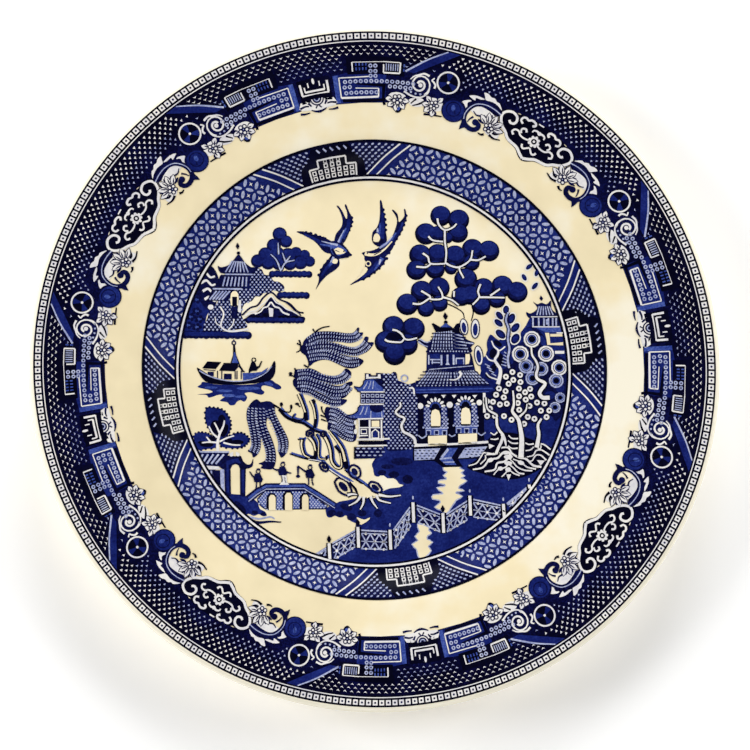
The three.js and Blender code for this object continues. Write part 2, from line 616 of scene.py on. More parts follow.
def leaf(x, y, start, length, width, turn):
    """A pointed leaf that begins at a distance start from x, y and points outwards from there."""
    shape = [(0, 0), (0.2, 0.6), (0.45, 1), (0.75, 0.7), (1, 0), (0.75, -0.7), (0.45, -1), (0.2, -0.6)]
    return moved([(start + u * length, v * width) for u, v in shape], x, y, turn)


def leaves_round(motif, turn, radius, reach, ways):
    """White leaves with dark edges and ribs round a flower, and a dark bud between each two."""
    x, y = at(turn, radius)
    put = dict(start=CARTOUCHE_AT)
    around(motif, "navy", 2, *[leaf(x, y, 1.5, reach - 1.2, 1.3, turn + way) for way in ways],
           *[leaf(x, y, 2.2, reach - 2.6, 0.5, turn + way + 21) for way in ways], **put)
    around(motif, "white", 3, *[leaf(x, y, 1.8, reach - 1.8, 0.88, turn + way) for way in ways], **put)
    around(motif, "navy", 4, *[leaf(x, y, 1.6, reach - 2.6, 0.24, turn + way + 4) for way in ways], **put)


def acanthus():
    """The flower beside the cartouche, under the leafy stem that curls round it."""
    put = dict(start=CARTOUCHE_AT)
    spray = rounds((6.6, 100.4), (7.2, 104), (8.6, 106.3), (10, 107.6), (12, 108.2), (13.4, 107.6),
                   (14.2, 105.8), (12.8, 104.6), (11.2, 104.2), (10.4, 102.4), (9.6, 100), (8.4, 99.4),
                   (7.2, 99.4))
    around("acanthus", "white", 1, smooth(spray), **put)
    leaves_round("acanthus", 9.3, 101.9, 5.6, (-82, -48, -14, 20, 52))
    upper = rounds((12.7, 113.5), (11.9, 113.6), (11.2, 112.9), (10.5, 113), (9.9, 112.1), (9.3, 112),
                   (8.4, 110), (9.4, 110.9), (10.6, 111.4), (11.9, 111.1), (12.3, 112.2))
    middle = rounds((15.1, 110.5), (13.9, 111.4), (12.2, 111.3), (12.8, 110.6), (13.8, 110.5), (13.8, 109.5),
                    (14.7, 110))
    lower = rounds((16.1, 107.5), (15, 108.9), (14.4, 108.8), (15, 107.7), (14.6, 105.2), (15.4, 106.1))
    around("acanthus", "white", 1, smooth(upper, cuts=3), smooth(middle, cuts=3), smooth(lower, cuts=3),
           **put)
    stem = rounds((8.2, 108.4), (9.8, 109.2), (11.6, 109.4), (13.3, 108.4), (14.3, 106.3), (14.8, 103.8),
                  (14.7, 101.6), (14.1, 99.9), (13, 99), (12, 99.1), (11.4, 100), (11.3, 101.2),
                  (11.9, 101.9))
    around("acanthus", "navy", 3, stroke(stem, 1.9, 1.7), disc(*at(12.2, 101.9), 1.2, steps=14), **put)
    around("acanthus", "pale", 4, stroke(stem[:7], 0.4, 0.3), **put)
    tail = rounds((14.9, 100.4), (15, 98.8), (14.9, 97.2), (14.3, 98.2), (13.8, 98.8), (14.2, 99.8))
    curls = rounds((11.7, 104.8), (12.6, 104.6), (13.4, 105.6)), rounds((13, 103.6), (13.5, 102.4),
                   (13.8, 101))
    around("acanthus", "navy", 3, tail, *[stroke(curl, 0.75, 0.3) for curl in curls], **put)
    edges = (rounds((8.6, 99.7), (7.4, 99.2), (6, 99.8)), rounds((8.1, 101), (7.4, 100.9), (6.7, 101.9)),
             rounds((9.6, 99), (10.2, 98.5), (10.9, 98.7)))
    around("acanthus", "black", 3, *[stroke(edge, 1, 0.4) for edge in edges], **put)
    small_flower("acanthus", 9.3, 101.9, 1.15)


def ball_and_wheel():
    """The cobalt ball and the wheel above it."""
    put = dict(start=CARTOUCHE_AT)
    x, y = at(17.2, 103.4)
    around("ball", "navy", 3, disc(x, y, 4.5, steps=28), **put)
    around("ball", "cobalt", 4, disc(x - 0.2, y, 3.9, steps=24), **put)
    around("ball", "navy", 5, contour(disc(x + 0.3, y + 0.2, 2.6, steps=18), 0.35),
           stroke([(x - 1, y - 1.4), (x + 1.4, y + 1.2)], 0.4, 0.3), **put)
    around("ball", "blue", 5, disc(x + 0.6, y + 0.5, 1.2, 0.8, 30, 9), **put)
    x, y = at(19.6, 112.7)
    around("wheel", "white", 2, disc(x, y, 4.25, steps=30), **put)
    around("wheel", "black", 3, disc(x, y, 3.6, steps=26), **put)
    spokes = []
    for turn in (20, 140, 260):
        spokes.append(moved([(0.3, -0.2), (3.2, -1.2), (3.4, 0), (3.2, 1.2), (0.3, 0.2)], x, y, turn))
    around("wheel", "cobalt", 4, *spokes, **put)
    around("wheel", "white", 5, disc(x, y, 0.5, steps=8), **put)


def flower_sprays():
    """White leaves and two flowers along the border's inner edge."""
    put = dict(start=CARTOUCHE_AT)
    for middle, size, ways in ((21.3, 1.1, (50, 95, 135, 180, -40)), (28.8, 1.2, (-95, -140, 175, 130, 90))):
        leaves = rounds((middle - 2, 103.4), (middle - 1.4, 105.2), (middle, 106), (middle + 1.4, 105.4),
                        (middle + 2, 103.6), (middle + 1.6, 102), (middle, 101.2), (middle - 1.6, 101.8))
        around("sprays", "white", 1, smooth(leaves), **put)
        leaves_round("sprays", middle, 103.3, 4.3, ways)
        small_flower("sprays", middle, 103.3, size)
    between = rounds((23.6, 104.6), (25, 104.8), (26.4, 103.8), (26.2, 102), (24.8, 101.4), (23.4, 102.4))
    around("sprays", "white", 1, smooth(between), **put)
    around("sprays", "black", 2, stroke(rounds((23.3, 103.9), (24.4, 102.6), (25.6, 101.7)), 0.9, 0.4),
           stroke(rounds((25, 104.4), (26, 102.4)), 0.7, 0.4),
           stroke(rounds((19.2, 99.9), (21, 99.6), (23, 99.3)), 0.5, 0.8),
           stroke(rounds((30.6, 104.6), (31.5, 102.4), (31.3, 100.9)), 0.5, 1), disc(*at(28.4, 99.7), 1.5,
               1.1), **put)
    around("sprays", "blue", 3, disc(*at(28.4, 99.9), 0.8, 0.6, steps=8), **put)


def beaded_scroll():
    """The beaded scroll that runs into the key pattern."""
    put = dict(start=CARTOUCHE_AT)
    around("scroll", "navy", 2, disc(*at(24.8, 109.6), 4.9, 4.4), **put)
    coil = [at(24.7 + (0.8 + 0.0055 * a) * math.cos(math.radians(a)) / 2, 109.8 + (0.8 + 0.0055 * a)
               * math.sin(math.radians(a))) for a in range(20, 600, 24)]
    around("scroll", "white", 3, stroke(coil, 0.9, 0.5, soft=False), disc(*at(24.6, 109.6), 0.8), **put)
    outer = rounds((22.8, 110.6), (22.9, 107.4), (24.2, 105.2), (26, 105.2), (27.6, 106.6))
    around("scroll", "white", 3, stroke(outer, 0.35, 0.75), **put)
    beads = [at(23.4 + 0.95 * i, 106.6 - 0.35 * math.sin(i * 1.05)) for i in range(5)]
    around("scroll", "pale", 3, *[disc(x, y, 0.42, steps=6) for x, y in beads], **put)
    crest = rounds((22.2, 113.2), (22.6, 112.2), (22.2, 111.6), (21.8, 110.6), (21.9, 109.4))
    top = rounds((23.2, 113.6), (24.2, 114.1), (25.1, 113.4), (26, 112.6), (26.6, 111.3))
    around("scroll", "white", 3, stroke(crest, 0.5, 0.8), stroke(top, 0.8, 0.4), **put)


def strap():
    """The slanting strap between the two dotted grounds."""
    put = dict(start=CARTOUCHE_AT)
    side = rounds((20.7, 123.9), (22.8, 121), (25, 118), (27.7, 114), (26, 113.8), (23.4, 117), (21.2, 120),
                  (18.7, 123.9))
    around("strap", "cobalt", 1, side, **put)
    around("strap", "pale", 2, stroke(rounds((20.8, 123.8), (24, 119.5), (27.7, 114)), 0.45, 0.7), **put)


def key_pattern():
    """Two interlocked key frets, beaded inside their white outlines."""
    put = dict(start=CARTOUCHE_AT)
    around("key", "cobalt", 1, rounds((31.2, 102), (36, 102), (41.2, 102), (41.2, 112.4), (38.6, 113),
               (31.2, 112.5)), **put)
    around("key", "black", 2, rounds((31.4, 102.2), (39.9, 102.2), (39.9, 103.3), (31.9, 103.3),
               (31.9, 107.6), (37, 108.6), (37, 109), (31.2, 108.9)), **put)
    around("key", "black", 2, rounds((27.9, 112), (33, 112.4), (38.4, 112.4), (38.4, 119), (33, 119),
               (27.9, 119)), **put)
    around("key", "blue", 2, rounds((41.2, 102.1), (40.3, 102.1), (40.3, 112.4), (41.2, 112.4)), **put)
    low_fret = [(34.4, 111.4), (40.1, 111.4), (40.1, 103.9), (32.6, 103.9), (32.6, 107), (37.1, 107.2)]
    around("key", "white", 3, stroke(rounds(*low_fret[:2]), 0.4), stroke(rounds(*low_fret[1:3]), 0.45),
           stroke(rounds(*low_fret[2:4]), 0.75), stroke(rounds(*low_fret[3:5]), 0.5),
           stroke(rounds(*low_fret[4:]), 0.35), **put)
    high_fret = [(37.4, 113.4), (37.4, 116.9), (31.8, 117), (28.7, 117), (28.7, 113), (31.7, 112.9),
                 (31.7, 116)]
    widths = (0.5, 0.25, 0.35, 0.55, 0.6, 0.5)
    around("key", "white", 3, *[stroke(rounds(a, b), w) for a, b, w in zip(high_fret, high_fret[1:], widths)],
           **put)
    beads = [(t, 109.7) for t in range(26, 40)] + [(t, 105.5) for t in range(33, 40)] + [(39.2, 107.7),
             (38.2, 107.7)]
    beads += [(33.2, 111.6), (33.2, 113.4), (33.2, 115.4), (34.1, 111.6), (34.1, 113.4), (34.1, 115.4)]
    beads += [(t, 107.9) for t in (26.4, 27.4, 28.4, 29.4, 30.4)]
    around("key", "pale", 3, *[[disc(*at(t, r), 0.78, steps=10), disc(*at(t, r), 0.34, steps=8)] for t,
               r in beads], **put)
    bars = [(t, r) for t in (28.0, 34.9, 35.5, 36.1, 36.7) for r in (114.3, 116)]
    around("key", "blue", 3, *[stroke(rounds((t, r - 0.55), (t, r + 0.55)), 0.5) for t, r in bars], **put)
    slats = [28.7 + 0.42 * i for i in range(1, 7)]
    around("key", "pale", 4, *[stroke(rounds((t, 113.7), (t, 116.3)), 0.34) for t in slats], **put)


def seam_motif():
    """The dark block with its bracket, and the half rosette below it."""
    put = dict(start=CARTOUCHE_AT)
    around("seam", "black", 2, rounds((45, 104.4), (41.9, 103.9), (41.9, 112.7), (45, 113)), **put)
    bracket = rounds((42.4, 111.3), (42.4, 107)), rounds((42.3, 106.9), (43.6, 106.9), (45, 106.9))
    inner = rounds((43.1, 110), (43.1, 108.1)), rounds((43.05, 108.1), (44, 108.1), (45, 108.1))
    around("seam", "white", 3, stroke(bracket[0], 0.8), stroke(bracket[1], 0.6, 0.35), stroke(inner[0], 0.5),
           stroke(inner[1], 0.75), stroke(rounds((43.9, 111.4), (43.9, 109.6)), 0.45), **put)
    x, y = at(45, 111.7)
    around("seam", "white", 3, disc(x, y, 1.15, 0.5, turn=45), start=CARTOUCHE_AT, both=False)
    leaves = rounds((45, 100.3), (43.9, 100.6), (43, 101.3), (41.6, 101.6), (41, 102.6), (41.6, 104.6),
                    (43.2, 104.9), (45, 104.6))
    around("seam", "white", 2, leaves, **put)
    around("seam", "navy", 3, stroke(rounds((45, 100.2), (44.2, 100.5), (43.4, 101.2)), 1, 0.4),
           stroke(rounds((43, 100.4), (42, 100.3), (41, 100.6)), 0.4, 0.9),
           stroke(rounds((43.1, 104), (43.6, 102.6)), 0.9, 0.5),
           stroke(rounds((41.2, 102.6), (42.3, 103), (43.1, 102.8)), 0.8, 0.5),
           stroke(rounds((45, 103), (44.4, 101.6)), 0.5), **put)
    for size, ink, layer in ((2.6, "navy", 3), (2.1, "white", 4), (1.7, "navy", 5), (1.1, "pale", 6),
                             (0.7, "navy", 7)):
        rosette = [(105.1 - size * math.sin(math.pi * i / 10), size * math.cos(math.pi * i / 10))
                   for i in range(11)]
        around("seam", ink, layer, moved(rosette, turn=45), start=CARTOUCHE_AT, both=False)


bead_edging()
star_dots()
cartouche()
acanthus()
ball_and_wheel()
flower_sprays()
beaded_scroll()
strap()
key_pattern()
seam_motif()


# ---------------------------------------------------------------- the band on the verge

BAND_FROM = 73.3
BAND_TO = 87.9


def verge_ground():
    """Dark and cobalt grounds of the band, its edge lines and the white ring inside it."""
    lay("band_ground", "navy", 0, ring(BAND_FROM, BAND_TO))
    lay("band_ring", "white", 5, ring(74.15, 74.9))
    lay("band_edges", "black", 4, ring(73.35, 74.1), ring(74.95, 75.7), ring(87.1, 87.95))


def stepped_panel():
    """A stepped panel of little squares in each quarter."""
    put = dict(start=PANEL_AT)
    ground = rounds((0, 75.4), (5, 75.4), (9.3, 75.4), (8.8, 78), (8.3, 81), (6, 84), (4.6, 87), (0, 87))
    around("panel", "black", 1, ground, **put)
    steps = [(6.3, 75.6), (6.3, 80.1), (3.7, 80.1), (3.7, 82.8), (0, 82.8)]
    around("panel", "white", 2, *[stroke(rounds(a, b), 0.6) for a, b in zip(steps, steps[1:])], **put)
    for row, radius in enumerate((76.7, 78.6, 80.5, 82)):
        for column in range(-3, 4):
            if row < 2 or abs(column) < 2:
                x, y = at(column * 1.72, radius)
                size = 0.78 if row < 3 else 0.6
                frame_out = moved(box(-size, -size, size, size), x, y, column * 1.72)
                hole = moved(box(-0.4, -0.4, 0.4, 0.4), x, y, column * 1.72)
                around("panel", "white", 2, [frame_out, hole], both=False, **put)
    dashes = [stroke(rounds((t, 85.2), (t + 0.7, 86.5)), 0.7, 0.5) for t in (-4.2, -2.5, -0.8, 0.9, 2.6)]
    around("panel", "pale", 2, *dashes, both=False, **put)


def band_strap():
    """The slanting strap each side of a panel."""
    put = dict(start=PANEL_AT)
    around("band_strap", "cobalt", 1, rounds((19.9, 87.2), (16, 81.5), (12, 75.7), (9, 75.7), (13, 81.3),
               (17.3, 87.2)), **put)
    around("band_strap", "white", 2, stroke(rounds((19.9, 87.1), (15.9, 81.4), (11.9, 75.6)), 0.6, 0.5),
           stroke(rounds((17.4, 87.1), (13.3, 81.4), (9.1, 75.6)), 0.6, 0.5), **put)


def fish_scale():
    """Small slanting dots between a panel and its strap."""
    put = dict(start=PANEL_AT)
    for row in range(10):
        radius = 86.4 - 1.08 * row
        near = 4.9 + (86.4 - radius) * 0.36
        far = 16.7 - (87 - radius) * 0.72
        for column in range(12):
            turn = 4.2 + 1.62 * (column + row % 2 / 2)
            if near < turn < far - 0.3:
                x, y = at(turn, radius)
                around("fish_scale", "pale", 1, disc(x, y, 0.62, 0.36, turn + 62, steps=6), **put)


def linked_rings():
    """Linked circles drawn by their petals, with a star dot in each."""
    put = dict(start=PANEL_AT)
    pitch, row_height = 2.12, 2.92
    around("linked_rings", "cobalt", 1, rounds((20.4, 87.2), (26, 87.2), (32, 87.2), (38, 87.2), (45, 87.2),
               (45, 75.7), (38, 75.7), (30, 75.7), (20, 75.7), (12.4, 75.7), (16.4, 81.5)), **put)
    slope = math.degrees(math.atan2(pitch * math.radians(1) * 81.5, row_height))
    for row in range(-1, 5):
        radius = 75.8 + row_height * row
        for column in range(4, 23):
            turn = 45 - pitch * (22 - column)
            dot = (row + column) % 2 == 0
            x, y = at(turn, radius)
            inside = turn > 12.9 + (radius - 75.7) * 0.68 and radius < 87 and radius > 75
            if dot and inside:
                star = [moved([(0.85, 0), (0.2, 0.2), (0, 0.85), (-0.2, 0.2), (-0.85, 0), (-0.2, -0.2),
                                (0, -0.85), (0.2, -0.2)], x, y, turn)]
                around("linked_rings", "white", 3, *star, **put)
            if dot:
                for side in (1, -1):
                    middle = radius + row_height / 2
                    leaf_turn = turn + side * pitch / 2
                    u, v = at(leaf_turn, middle)
                    if leaf_turn > 13.5 + (middle - 75.7) * 0.68 and leaf_turn < 45 and 75.9 < middle < 86.6:
                        lean = leaf_turn - side * slope
                        around("linked_rings", "pale", 2, disc(u, v, 1.45, 0.62, lean, steps=10), **put)


verge_ground()
stepped_panel()
band_strap()
fish_scale()
linked_rings()


# ---------------------------------------------------------------- the picture in the well

def inside(x, y, outline):
    """Whether a point lies in an outline."""
    found = False
    for (a, b), (c, d) in zip(outline, outline[1:] + outline[:1]):
        if (b > y) != (d > y) and x < a + (y - b) * (c - a) / (d - b):
            found = not found
    return found


def sprinkled(outline, pitch, size, across=None, turn=0):
    """Dots in staggered rows that fill an outline."""
    xs, ys = [p[0] for p in outline], [p[1] for p in outline]
    dots = []
    row = 0
    y = min(ys)
    while y < max(ys):
        x = min(xs) + (row % 2) * pitch / 2
        while x < max(xs):
            if inside(x, y, outline):
                dots.append(disc(x, y, size, across, turn, steps=6))
            x += pitch
        row += 1
        y += pitch * 0.62
    return dots


def hatched(a, b, c, d, count, width, tip=None):
    """Lines from side a-b across to side d-c of a four-sided field."""
    a, b, c, d = (Vector(p) for p in (a, b, c, d))
    lines = []
    for i in range(count):
        t = (i + 0.5) / count
        lines.append(stroke([tuple(a.lerp(b, t)), tuple(d.lerp(c, t))], width, tip))
    return lines


def tufts(x0, x1, y, size):
    """A low bank drawn as a row of overlapping tufts."""
    count = round((x1 - x0) / size / 1.25)
    return [disc(x0 + (x1 - x0) * i / count, y + 0.15 * (i % 2), size, steps=12) for i in range(count + 1)]


def water_and_land():
    """The garden's cobalt ground, its scalloped shores and the pale reflections on the water."""
    shore = smooth([(3.5, -29.5), (1.2, -32), (-0.8, -35), (-0.3, -37), (0.1, -39.3), (1.7, -39.8),
                       (3.2, -39), (5, -40.4), (7.3, -40.4), (8.6, -41.3), (9.4, -42.5), (11, -42.9),
                       (9.5, -43.8), (6, -44.2), (3.4, -45.2), (0, -46.6), (-4, -47), (-6.7, -47.9),
                       (-10.5, -48.8), (-13, -49.2), (-14.8, -50.2), (-17.9, -51.5), (-18.1, -53.5),
                       (-17.4, -55.1), (-15.9, -55.1), (-14.8, -54.5), (-13.4, -55.1), (-12, -55.1),
                       (-10.9, -54.4), (-10, -54.9), (-9.3, -56.2), (-8.1, -56.9), (-6.9, -57.3)], False, 2)
    low_shore = [(-7.2, -59.8), (-12, -62.6), (-18, -66.2), (-23.2, -69.4)]
    hem = rounds(*[(turn, 73.4) for turn in range(-108, 19, 6)])
    back = [(66, 25), (60, 22), (58, 18), (56.5, 16), (55, 12), (52, 14), (47, 12), (43, 8), (40, -2),
            (16, -6), (6, -2)]
    lay("land", "cobalt", 0, shore + low_shore + hem + back)
    lay("land", "navy", 1, disc(3, -38.3, 1.6, 1.1), disc(7.4, -39, 2, 1.3), disc(12.6, -40.8, 2, 1.7),
        disc(-16, -53.6, 1.7, 1.3), disc(-12.9, -53.9, 1.4, 1.1), disc(-8.6, -55, 1.7, 1.4),
        disc(-4.6, -53.6, 1.7, 1.2), disc(1.4, -53.6, 1.5), disc(-10.5, -51.3, 2.4, 1.2, -20),
        disc(5, -36, 2.4, 0.9), disc(10.5, -34, 4, 1.5))
    glade = [(26.8, -35.6), (32.4, -35.6), (31.9, -36.6), (33.7, -37.3), (32.4, -38.3), (33.9, -39.4),
             (32.3, -40.3), (34.7, -41.3), (32.2, -42.9), (31.6, -44.3), (33.8, -44.9), (31, -45.3),
             (30.6, -46.1), (33, -47.2), (30.8, -48.3), (30, -49.4), (28.5, -51.5), (27, -53.4), (25, -52.2),
             (22.8, -51.3), (25, -49.6), (24.4, -48.4), (22, -48), (22.2, -46.8), (25.8, -46.4),
             (25.6, -45.5), (23.7, -44), (26.4, -43.6), (26.7, -42.6), (24.2, -42), (25, -41.2), (27.1, -41),
             (27.3, -40), (26.2, -39.4), (27.8, -38), (26.3, -37.2)]
    lower = [(16.2, -57.8), (20.1, -58.6), (20.1, -60), (21.2, -61), (19.8, -61.9), (19.6, -63.4),
             (21.6, -64.4), (19.9, -66), (21, -67.6), (19.2, -69.5), (17.6, -70.8), (16.4, -69.4),
             (15.9, -67), (14.2, -65.3), (16.5, -63.8), (15.3, -62.3), (17, -60.4)]
    for water in (glade, lower):
        lay("reflections", "pale", 1, contour(smooth(water, cuts=2), 0.9))
        lay("reflections", "cream", 2, smooth(water, cuts=2))


def fence_panel(a, b, c, d, crosses):
    """One fretted panel of the zigzag fence between its top corners a, b and its bottom corners c, d."""
    lay("fence", "navy", 2, [a, b, c, d])
    a, b, c, d = (Vector(p) for p in (a, b, c, d))
    lines = [([a, b], 0.55), ([a.lerp(d, 0.16), b.lerp(c, 0.16)], 0.35), ([d, c], 0.45)]
    for i in range(crosses):
        s, t = i / crosses, (i + 1) / crosses
        top0, top1 = a.lerp(b, s).lerp(d.lerp(c, s), 0.18), a.lerp(b, t).lerp(d.lerp(c, t), 0.18)
        low0, low1 = d.lerp(c, s), d.lerp(c, t)
        lines += [([top0, low1], 0.5), ([low0, top1], 0.5), ([top0.lerp(low0, 0.5), top1.lerp(low1, 0.5)],
                      0.3)]
        lay("fence", "white", 3, disc(*top0.lerp(low1, 0.5), 0.62, steps=6), disc(*top0.lerp(top1, 0.5), 0.5,
                steps=6), disc(*low0.lerp(low1, 0.5), 0.5, steps=6))
    for way, width in lines:
        lay("fence", "pale", 3, stroke([tuple(p) for p in way], width))


def fence():
    """The fence that zigzags across the foreground."""
    panels = [((-22.5, -69.3), (-17.9, -66.6), (-17.9, -71), (-19.6, -70.9), 1), ((-15.8, -64.9), (-7, -60),
                  (-7, -66), (-15.2, -71), 3), ((-4.9, -60), (5.1, -60.5), (5.1, -67.2), (-4.9, -66.9), 3),
              ((7, -60), (13.4, -51.3), (13.6, -58.3), (7.6, -66.8), 3), ((16, -50.6), (24.8, -54),
                  (24.8, -60.6), (16.4, -57), 2), ((27, -54), (34.9, -48.9), (34.9, -56), (27.2, -60.5), 3),
              ((37.2, -48.3), (47.8, -50.6), (47.6, -56.4), (37.2, -54.9), 3), ((49.8, -49.9), (57.6, -43.6),
                  (56.8, -46.4), (51.4, -52), 2)]
    for panel in panels:
        fence_panel(*panel)
    posts = [(-16.9, -64.8, -71), (-6.1, -58.7, -66.7), (5.9, -59.7, -67.4), (14.6, -49.4, -57.2),
             (25.8, -53.4, -61.1), (36, -46.8, -54.6), (48.6, -49.9, -55.4), (58.4, -42.6, -44.4)]
    for x, top, bottom in posts:
        lay("fence", "black", 4, box(x - 1.15, bottom, x + 1.15, top))
        lay("fence", "white", 5, [(x - 0.65, top - 0.1), (x + 0.45, top - 0.1), (x + 0.7, bottom + 0.2),
                (x - 0.4, bottom + 0.2)])
        finial = "black" if x in (-16.9, -6.1, 25.8) else "pale"
        lay("fence", finial, 5, [(x - 0.2, top + 3), (x + 0.75, top + 1.5), (x + 0.2, top + 0.3),
                (x - 0.4, top + 0.3), (x - 0.95, top + 1.5)] if finial == "black"
            else disc(x - 0.1, top + 1.7, 0.35, 0.75))


def roof_stripes(motif, field, count, width):
    """The tile rows of a roof."""
    lay(motif, "pale", 4, *hatched(*field, count, width, width * 0.8))


def pagoda():
    """The two-storey house with its curled roofs, arches and brick plinth."""
    lay("pagoda", "black", 3, [(27.2, 22.9), (26.5, 21.3), (27.3, 20), (27.6, 20), (28.4, 21.3)],
        disc(27.5, 19, 0.75), [(26.9, 18.4), (28.1, 18.4), (30.4, 16.7), (31.5, 18.4), (33.2, 18.9),
            (32.6, 16.8), (33, 14.9), (24, 14.7), (23, 16.6), (22.2, 18.4), (22.8, 18.7), (25.6, 17)])
    lay("pagoda", "blue", 4, [(27.5, 18.7), (29.6, 17.1), (25.4, 17.1)])
    top_roof = smooth([(25.2, 16.2), (31, 16.2), (33.6, 14.6), (35.4, 12.5), (38.4, 11.2), (37, 9.6),
                          (36.9, 7.4), (28, 7), (20.2, 7.3), (20.4, 9), (17, 11.2), (17.4, 12.3),
                          (20.5, 11.4), (22.2, 12.6), (23.6, 15)], cuts=3)
    lay("pagoda", "navy", 2, top_roof)
    roof_stripes("pagoda", ((22.8, 15), (30, 15.8), (30.4, 8.6), (21.6, 8.6)), 8, 0.55)
    lay("pagoda", "navy", 5, *hatched((22.4, 15.4), (20.6, 8.8), (36.6, 8.8), (34.4, 15.2), 5, 0.42))
    lay("pagoda", "pale", 4, *hatched((29.8, 15.6), (30.6, 8.8), (36, 8.4), (33.6, 14.2), 5, 0.5),
        *[disc(21.5 + 1.1 * i, 7.9, 0.32, steps=6) for i in range(14)],
        stroke([(17, 11.6), (19, 10.2), (20.6, 9.6)], 0.5, 0.3),
        stroke([(17.5, 12.6), (20, 11.3), (21.8, 11.8)], 0.5, 0.3), stroke([(35, 11.2), (38, 10.9)], 0.5))
    lay("pagoda", "navy", 2, [(20.2, 7.2), (37, 7.2), (37.4, 6), (38.6, 0.4), (20, 0.4)])
    lay("pagoda", "pale", 3, box(20.7, 2.8, 21.2, 6.4), box(25.4, 2.6, 26.1, 6.5), box(27.7, 2.8, 28.4, 6.6),
        box(30, 2.8, 30.7, 6.6), [(27.2, 2.7), (28.9, 2.7), (28.2, 4), (27.9, 4)],
        stroke([(21.5, 4.7), (25.2, 4.7)], 0.45), stroke([(22, 3.6), (25.2, 3.6)], 0.45),
        stroke([(22.3, 3), (22.3, 4.6)], 0.4), stroke([(31.2, 5.2), (34.4, 5.3)], 0.5),
        stroke([(31.3, 5.2), (31.3, 3)], 0.45), stroke([(34.2, 5.2), (34.2, 3)], 0.45),
        stroke([(21, 0.9), (37.5, 2.4)], 0.3))
    lay("pagoda", "cobalt", 3, box(21.5, 5, 25.1, 6.9), box(31.7, 3, 33.8, 4.7))
    lay("pagoda", "cream", 3, [(34.8, 2.9), (34.9, 6.9), (36.4, 6.9), (36.6, 5), (36.1, 3.2)])
    main_roof = smooth([(20.4, 0.8), (30, 0.9), (38.2, 0.7), (40.3, -1.4), (42.2, -3.6), (46, -6.4),
                           (44, -7.4), (30, -8.2), (15.4, -8.6), (15.2, -6.6), (12.4, -5.2), (14.6, -4.4),
                           (17.6, -3), (19.6, -0.9)], cuts=3)
    lay("pagoda", "navy", 2, main_roof)
    roof_stripes("pagoda", ((20.6, 0.4), (29.8, 0.2), (29.8, -5.3), (15.6, -5.5)), 10, 0.6)
    lay("pagoda", "pale", 4, *hatched((30, 0.2), (38, 0.6), (44.2, -4.6), (30.4, -5.2), 9, 0.55))
    lay("pagoda", "navy", 5, *hatched((19, 0.6), (14.6, -5.4), (44, -5.2), (38.8, 0.6), 5, 0.42))
    lay("pagoda", "cobalt", 3, [(15.6, -5.9), (45, -5.2), (46, -6.6), (44, -7.7), (15.6, -8.3)])
    lay("pagoda", "blue", 4, stroke([(16, -6.9), (45, -6.2)], 0.5), stroke([(16, -7.9), (43.5, -7.4)], 0.35))
    hook = [(32.4, 0.2), (33.1, -0.8), (32.2, -2.2), (30.6, -3), (28.6, -2.9)]
    lay("pagoda", "white", 6, stroke(hook, 1, 0.3), stroke([(13.4, -6.2), (15, -6.4), (15.3, -8.6)], 0.6))
    lay("pagoda", "black", 3, [(15.9, -8.5), (41.6, -7.8), (41.6, -26), (16.8, -27.2), (16.6, -14),
            (15.9, -10)])
    lay("pagoda", "white", 4, box(41.3, -15.4, 42.3, -7.9), disc(17.6, -13, 1.15), disc(28.7, -12.5, 1.2),
        disc(39.9, -11.6, 1.1), *[[(x - 0.9, -8.8), (x + 0.9, -8.7), (x, -10)] for x in (19.6, 26.4, 30.4,
                38.2)])
    for x, y in ((23.3, -13.2), (34.7, -12.4)):
        for side in (-1, 1):
            field = smooth([(x + side * 2.1, y - 0.6), (x + side * 4.4, y + 0.2), (x + side * 4.6, y - 8),
                               (x + side * 2, y - 8)], cuts=1)
            lay("pagoda", "cobalt", 4, field)
            lay("pagoda", "pale", 5, *sprinkled(field, 1.25, 0.42))
        for i in range(7):
            turn = math.radians(10 + 160 * i / 6)
            lay("pagoda", "white", 5, disc(x + 3 * math.cos(turn), y + 3 * math.sin(turn) - 0.3, 0.85, 0.5,
                    10 + 160 * i / 6, steps=8))
            lay("pagoda", "blue", 4, disc(x + 1.9 * math.cos(turn), y + 1.9 * math.sin(turn) - 0.4, 0.45,
                    steps=6))
        door = [(x - 1.7, y - 7.4), (x + 1.8, y - 7.4), (x + 1.9, y - 3.6), (x + 1.3, y - 1.6), (x, y - 1),
                (x - 1.3, y - 1.6), (x - 1.8, y - 3.6)]
        lay("pagoda", "cream", 5, door)
        lay("pagoda", "blue", 4, box(x - 3.9, y - 10.9, x + 4.4, y - 8.1))
        lay("pagoda", "pale", 5, stroke([(x - 3.9, y - 8.4), (x + 4.4, y - 8.2)], 0.5),
            *[contour(box(x + u - 0.85, y - 10.6, x + u + 0.85, y - 9.1), 0.4) for u in (-2.7, 0.3, 3.3)])
        lay("pagoda", "navy", 5, *[box(x + u - 0.55, y - 10.8, x + u + 0.55, y - 9.3)
                for u in (-2.7, 0.3, 3.3)])
        lay("pagoda", "cream", 5, [(x - 2.9, y - 11.2), (x + 4.2, y - 10.9), (x + 4.2, y - 14.9),
                (x - 2.9, y - 15)])
    lay("pagoda", "pale", 5, stroke([(16.8, -24.2), (18.2, -25.2), (19.8, -24.2)], 0.45),
        stroke([(28.2, -23.8), (29.5, -24.5), (30.8, -23.8)], 0.45),
        stroke([(39.2, -23.2), (40.6, -24), (42.2, -22.9)], 0.45))
    lay("pagoda", "white", 5, [(15, -28.7), (15.4, -27.5), (16.3, -26.6), (16.6, -27.4), (29, -27.1),
            (43, -26.1), (43.2, -27), (28, -28.3)])
    lay("pagoda", "black", 6, stroke([(14.8, -29), (43.2, -27.5)], 0.8), box(27.7, -26.8, 31.3, -24.8))
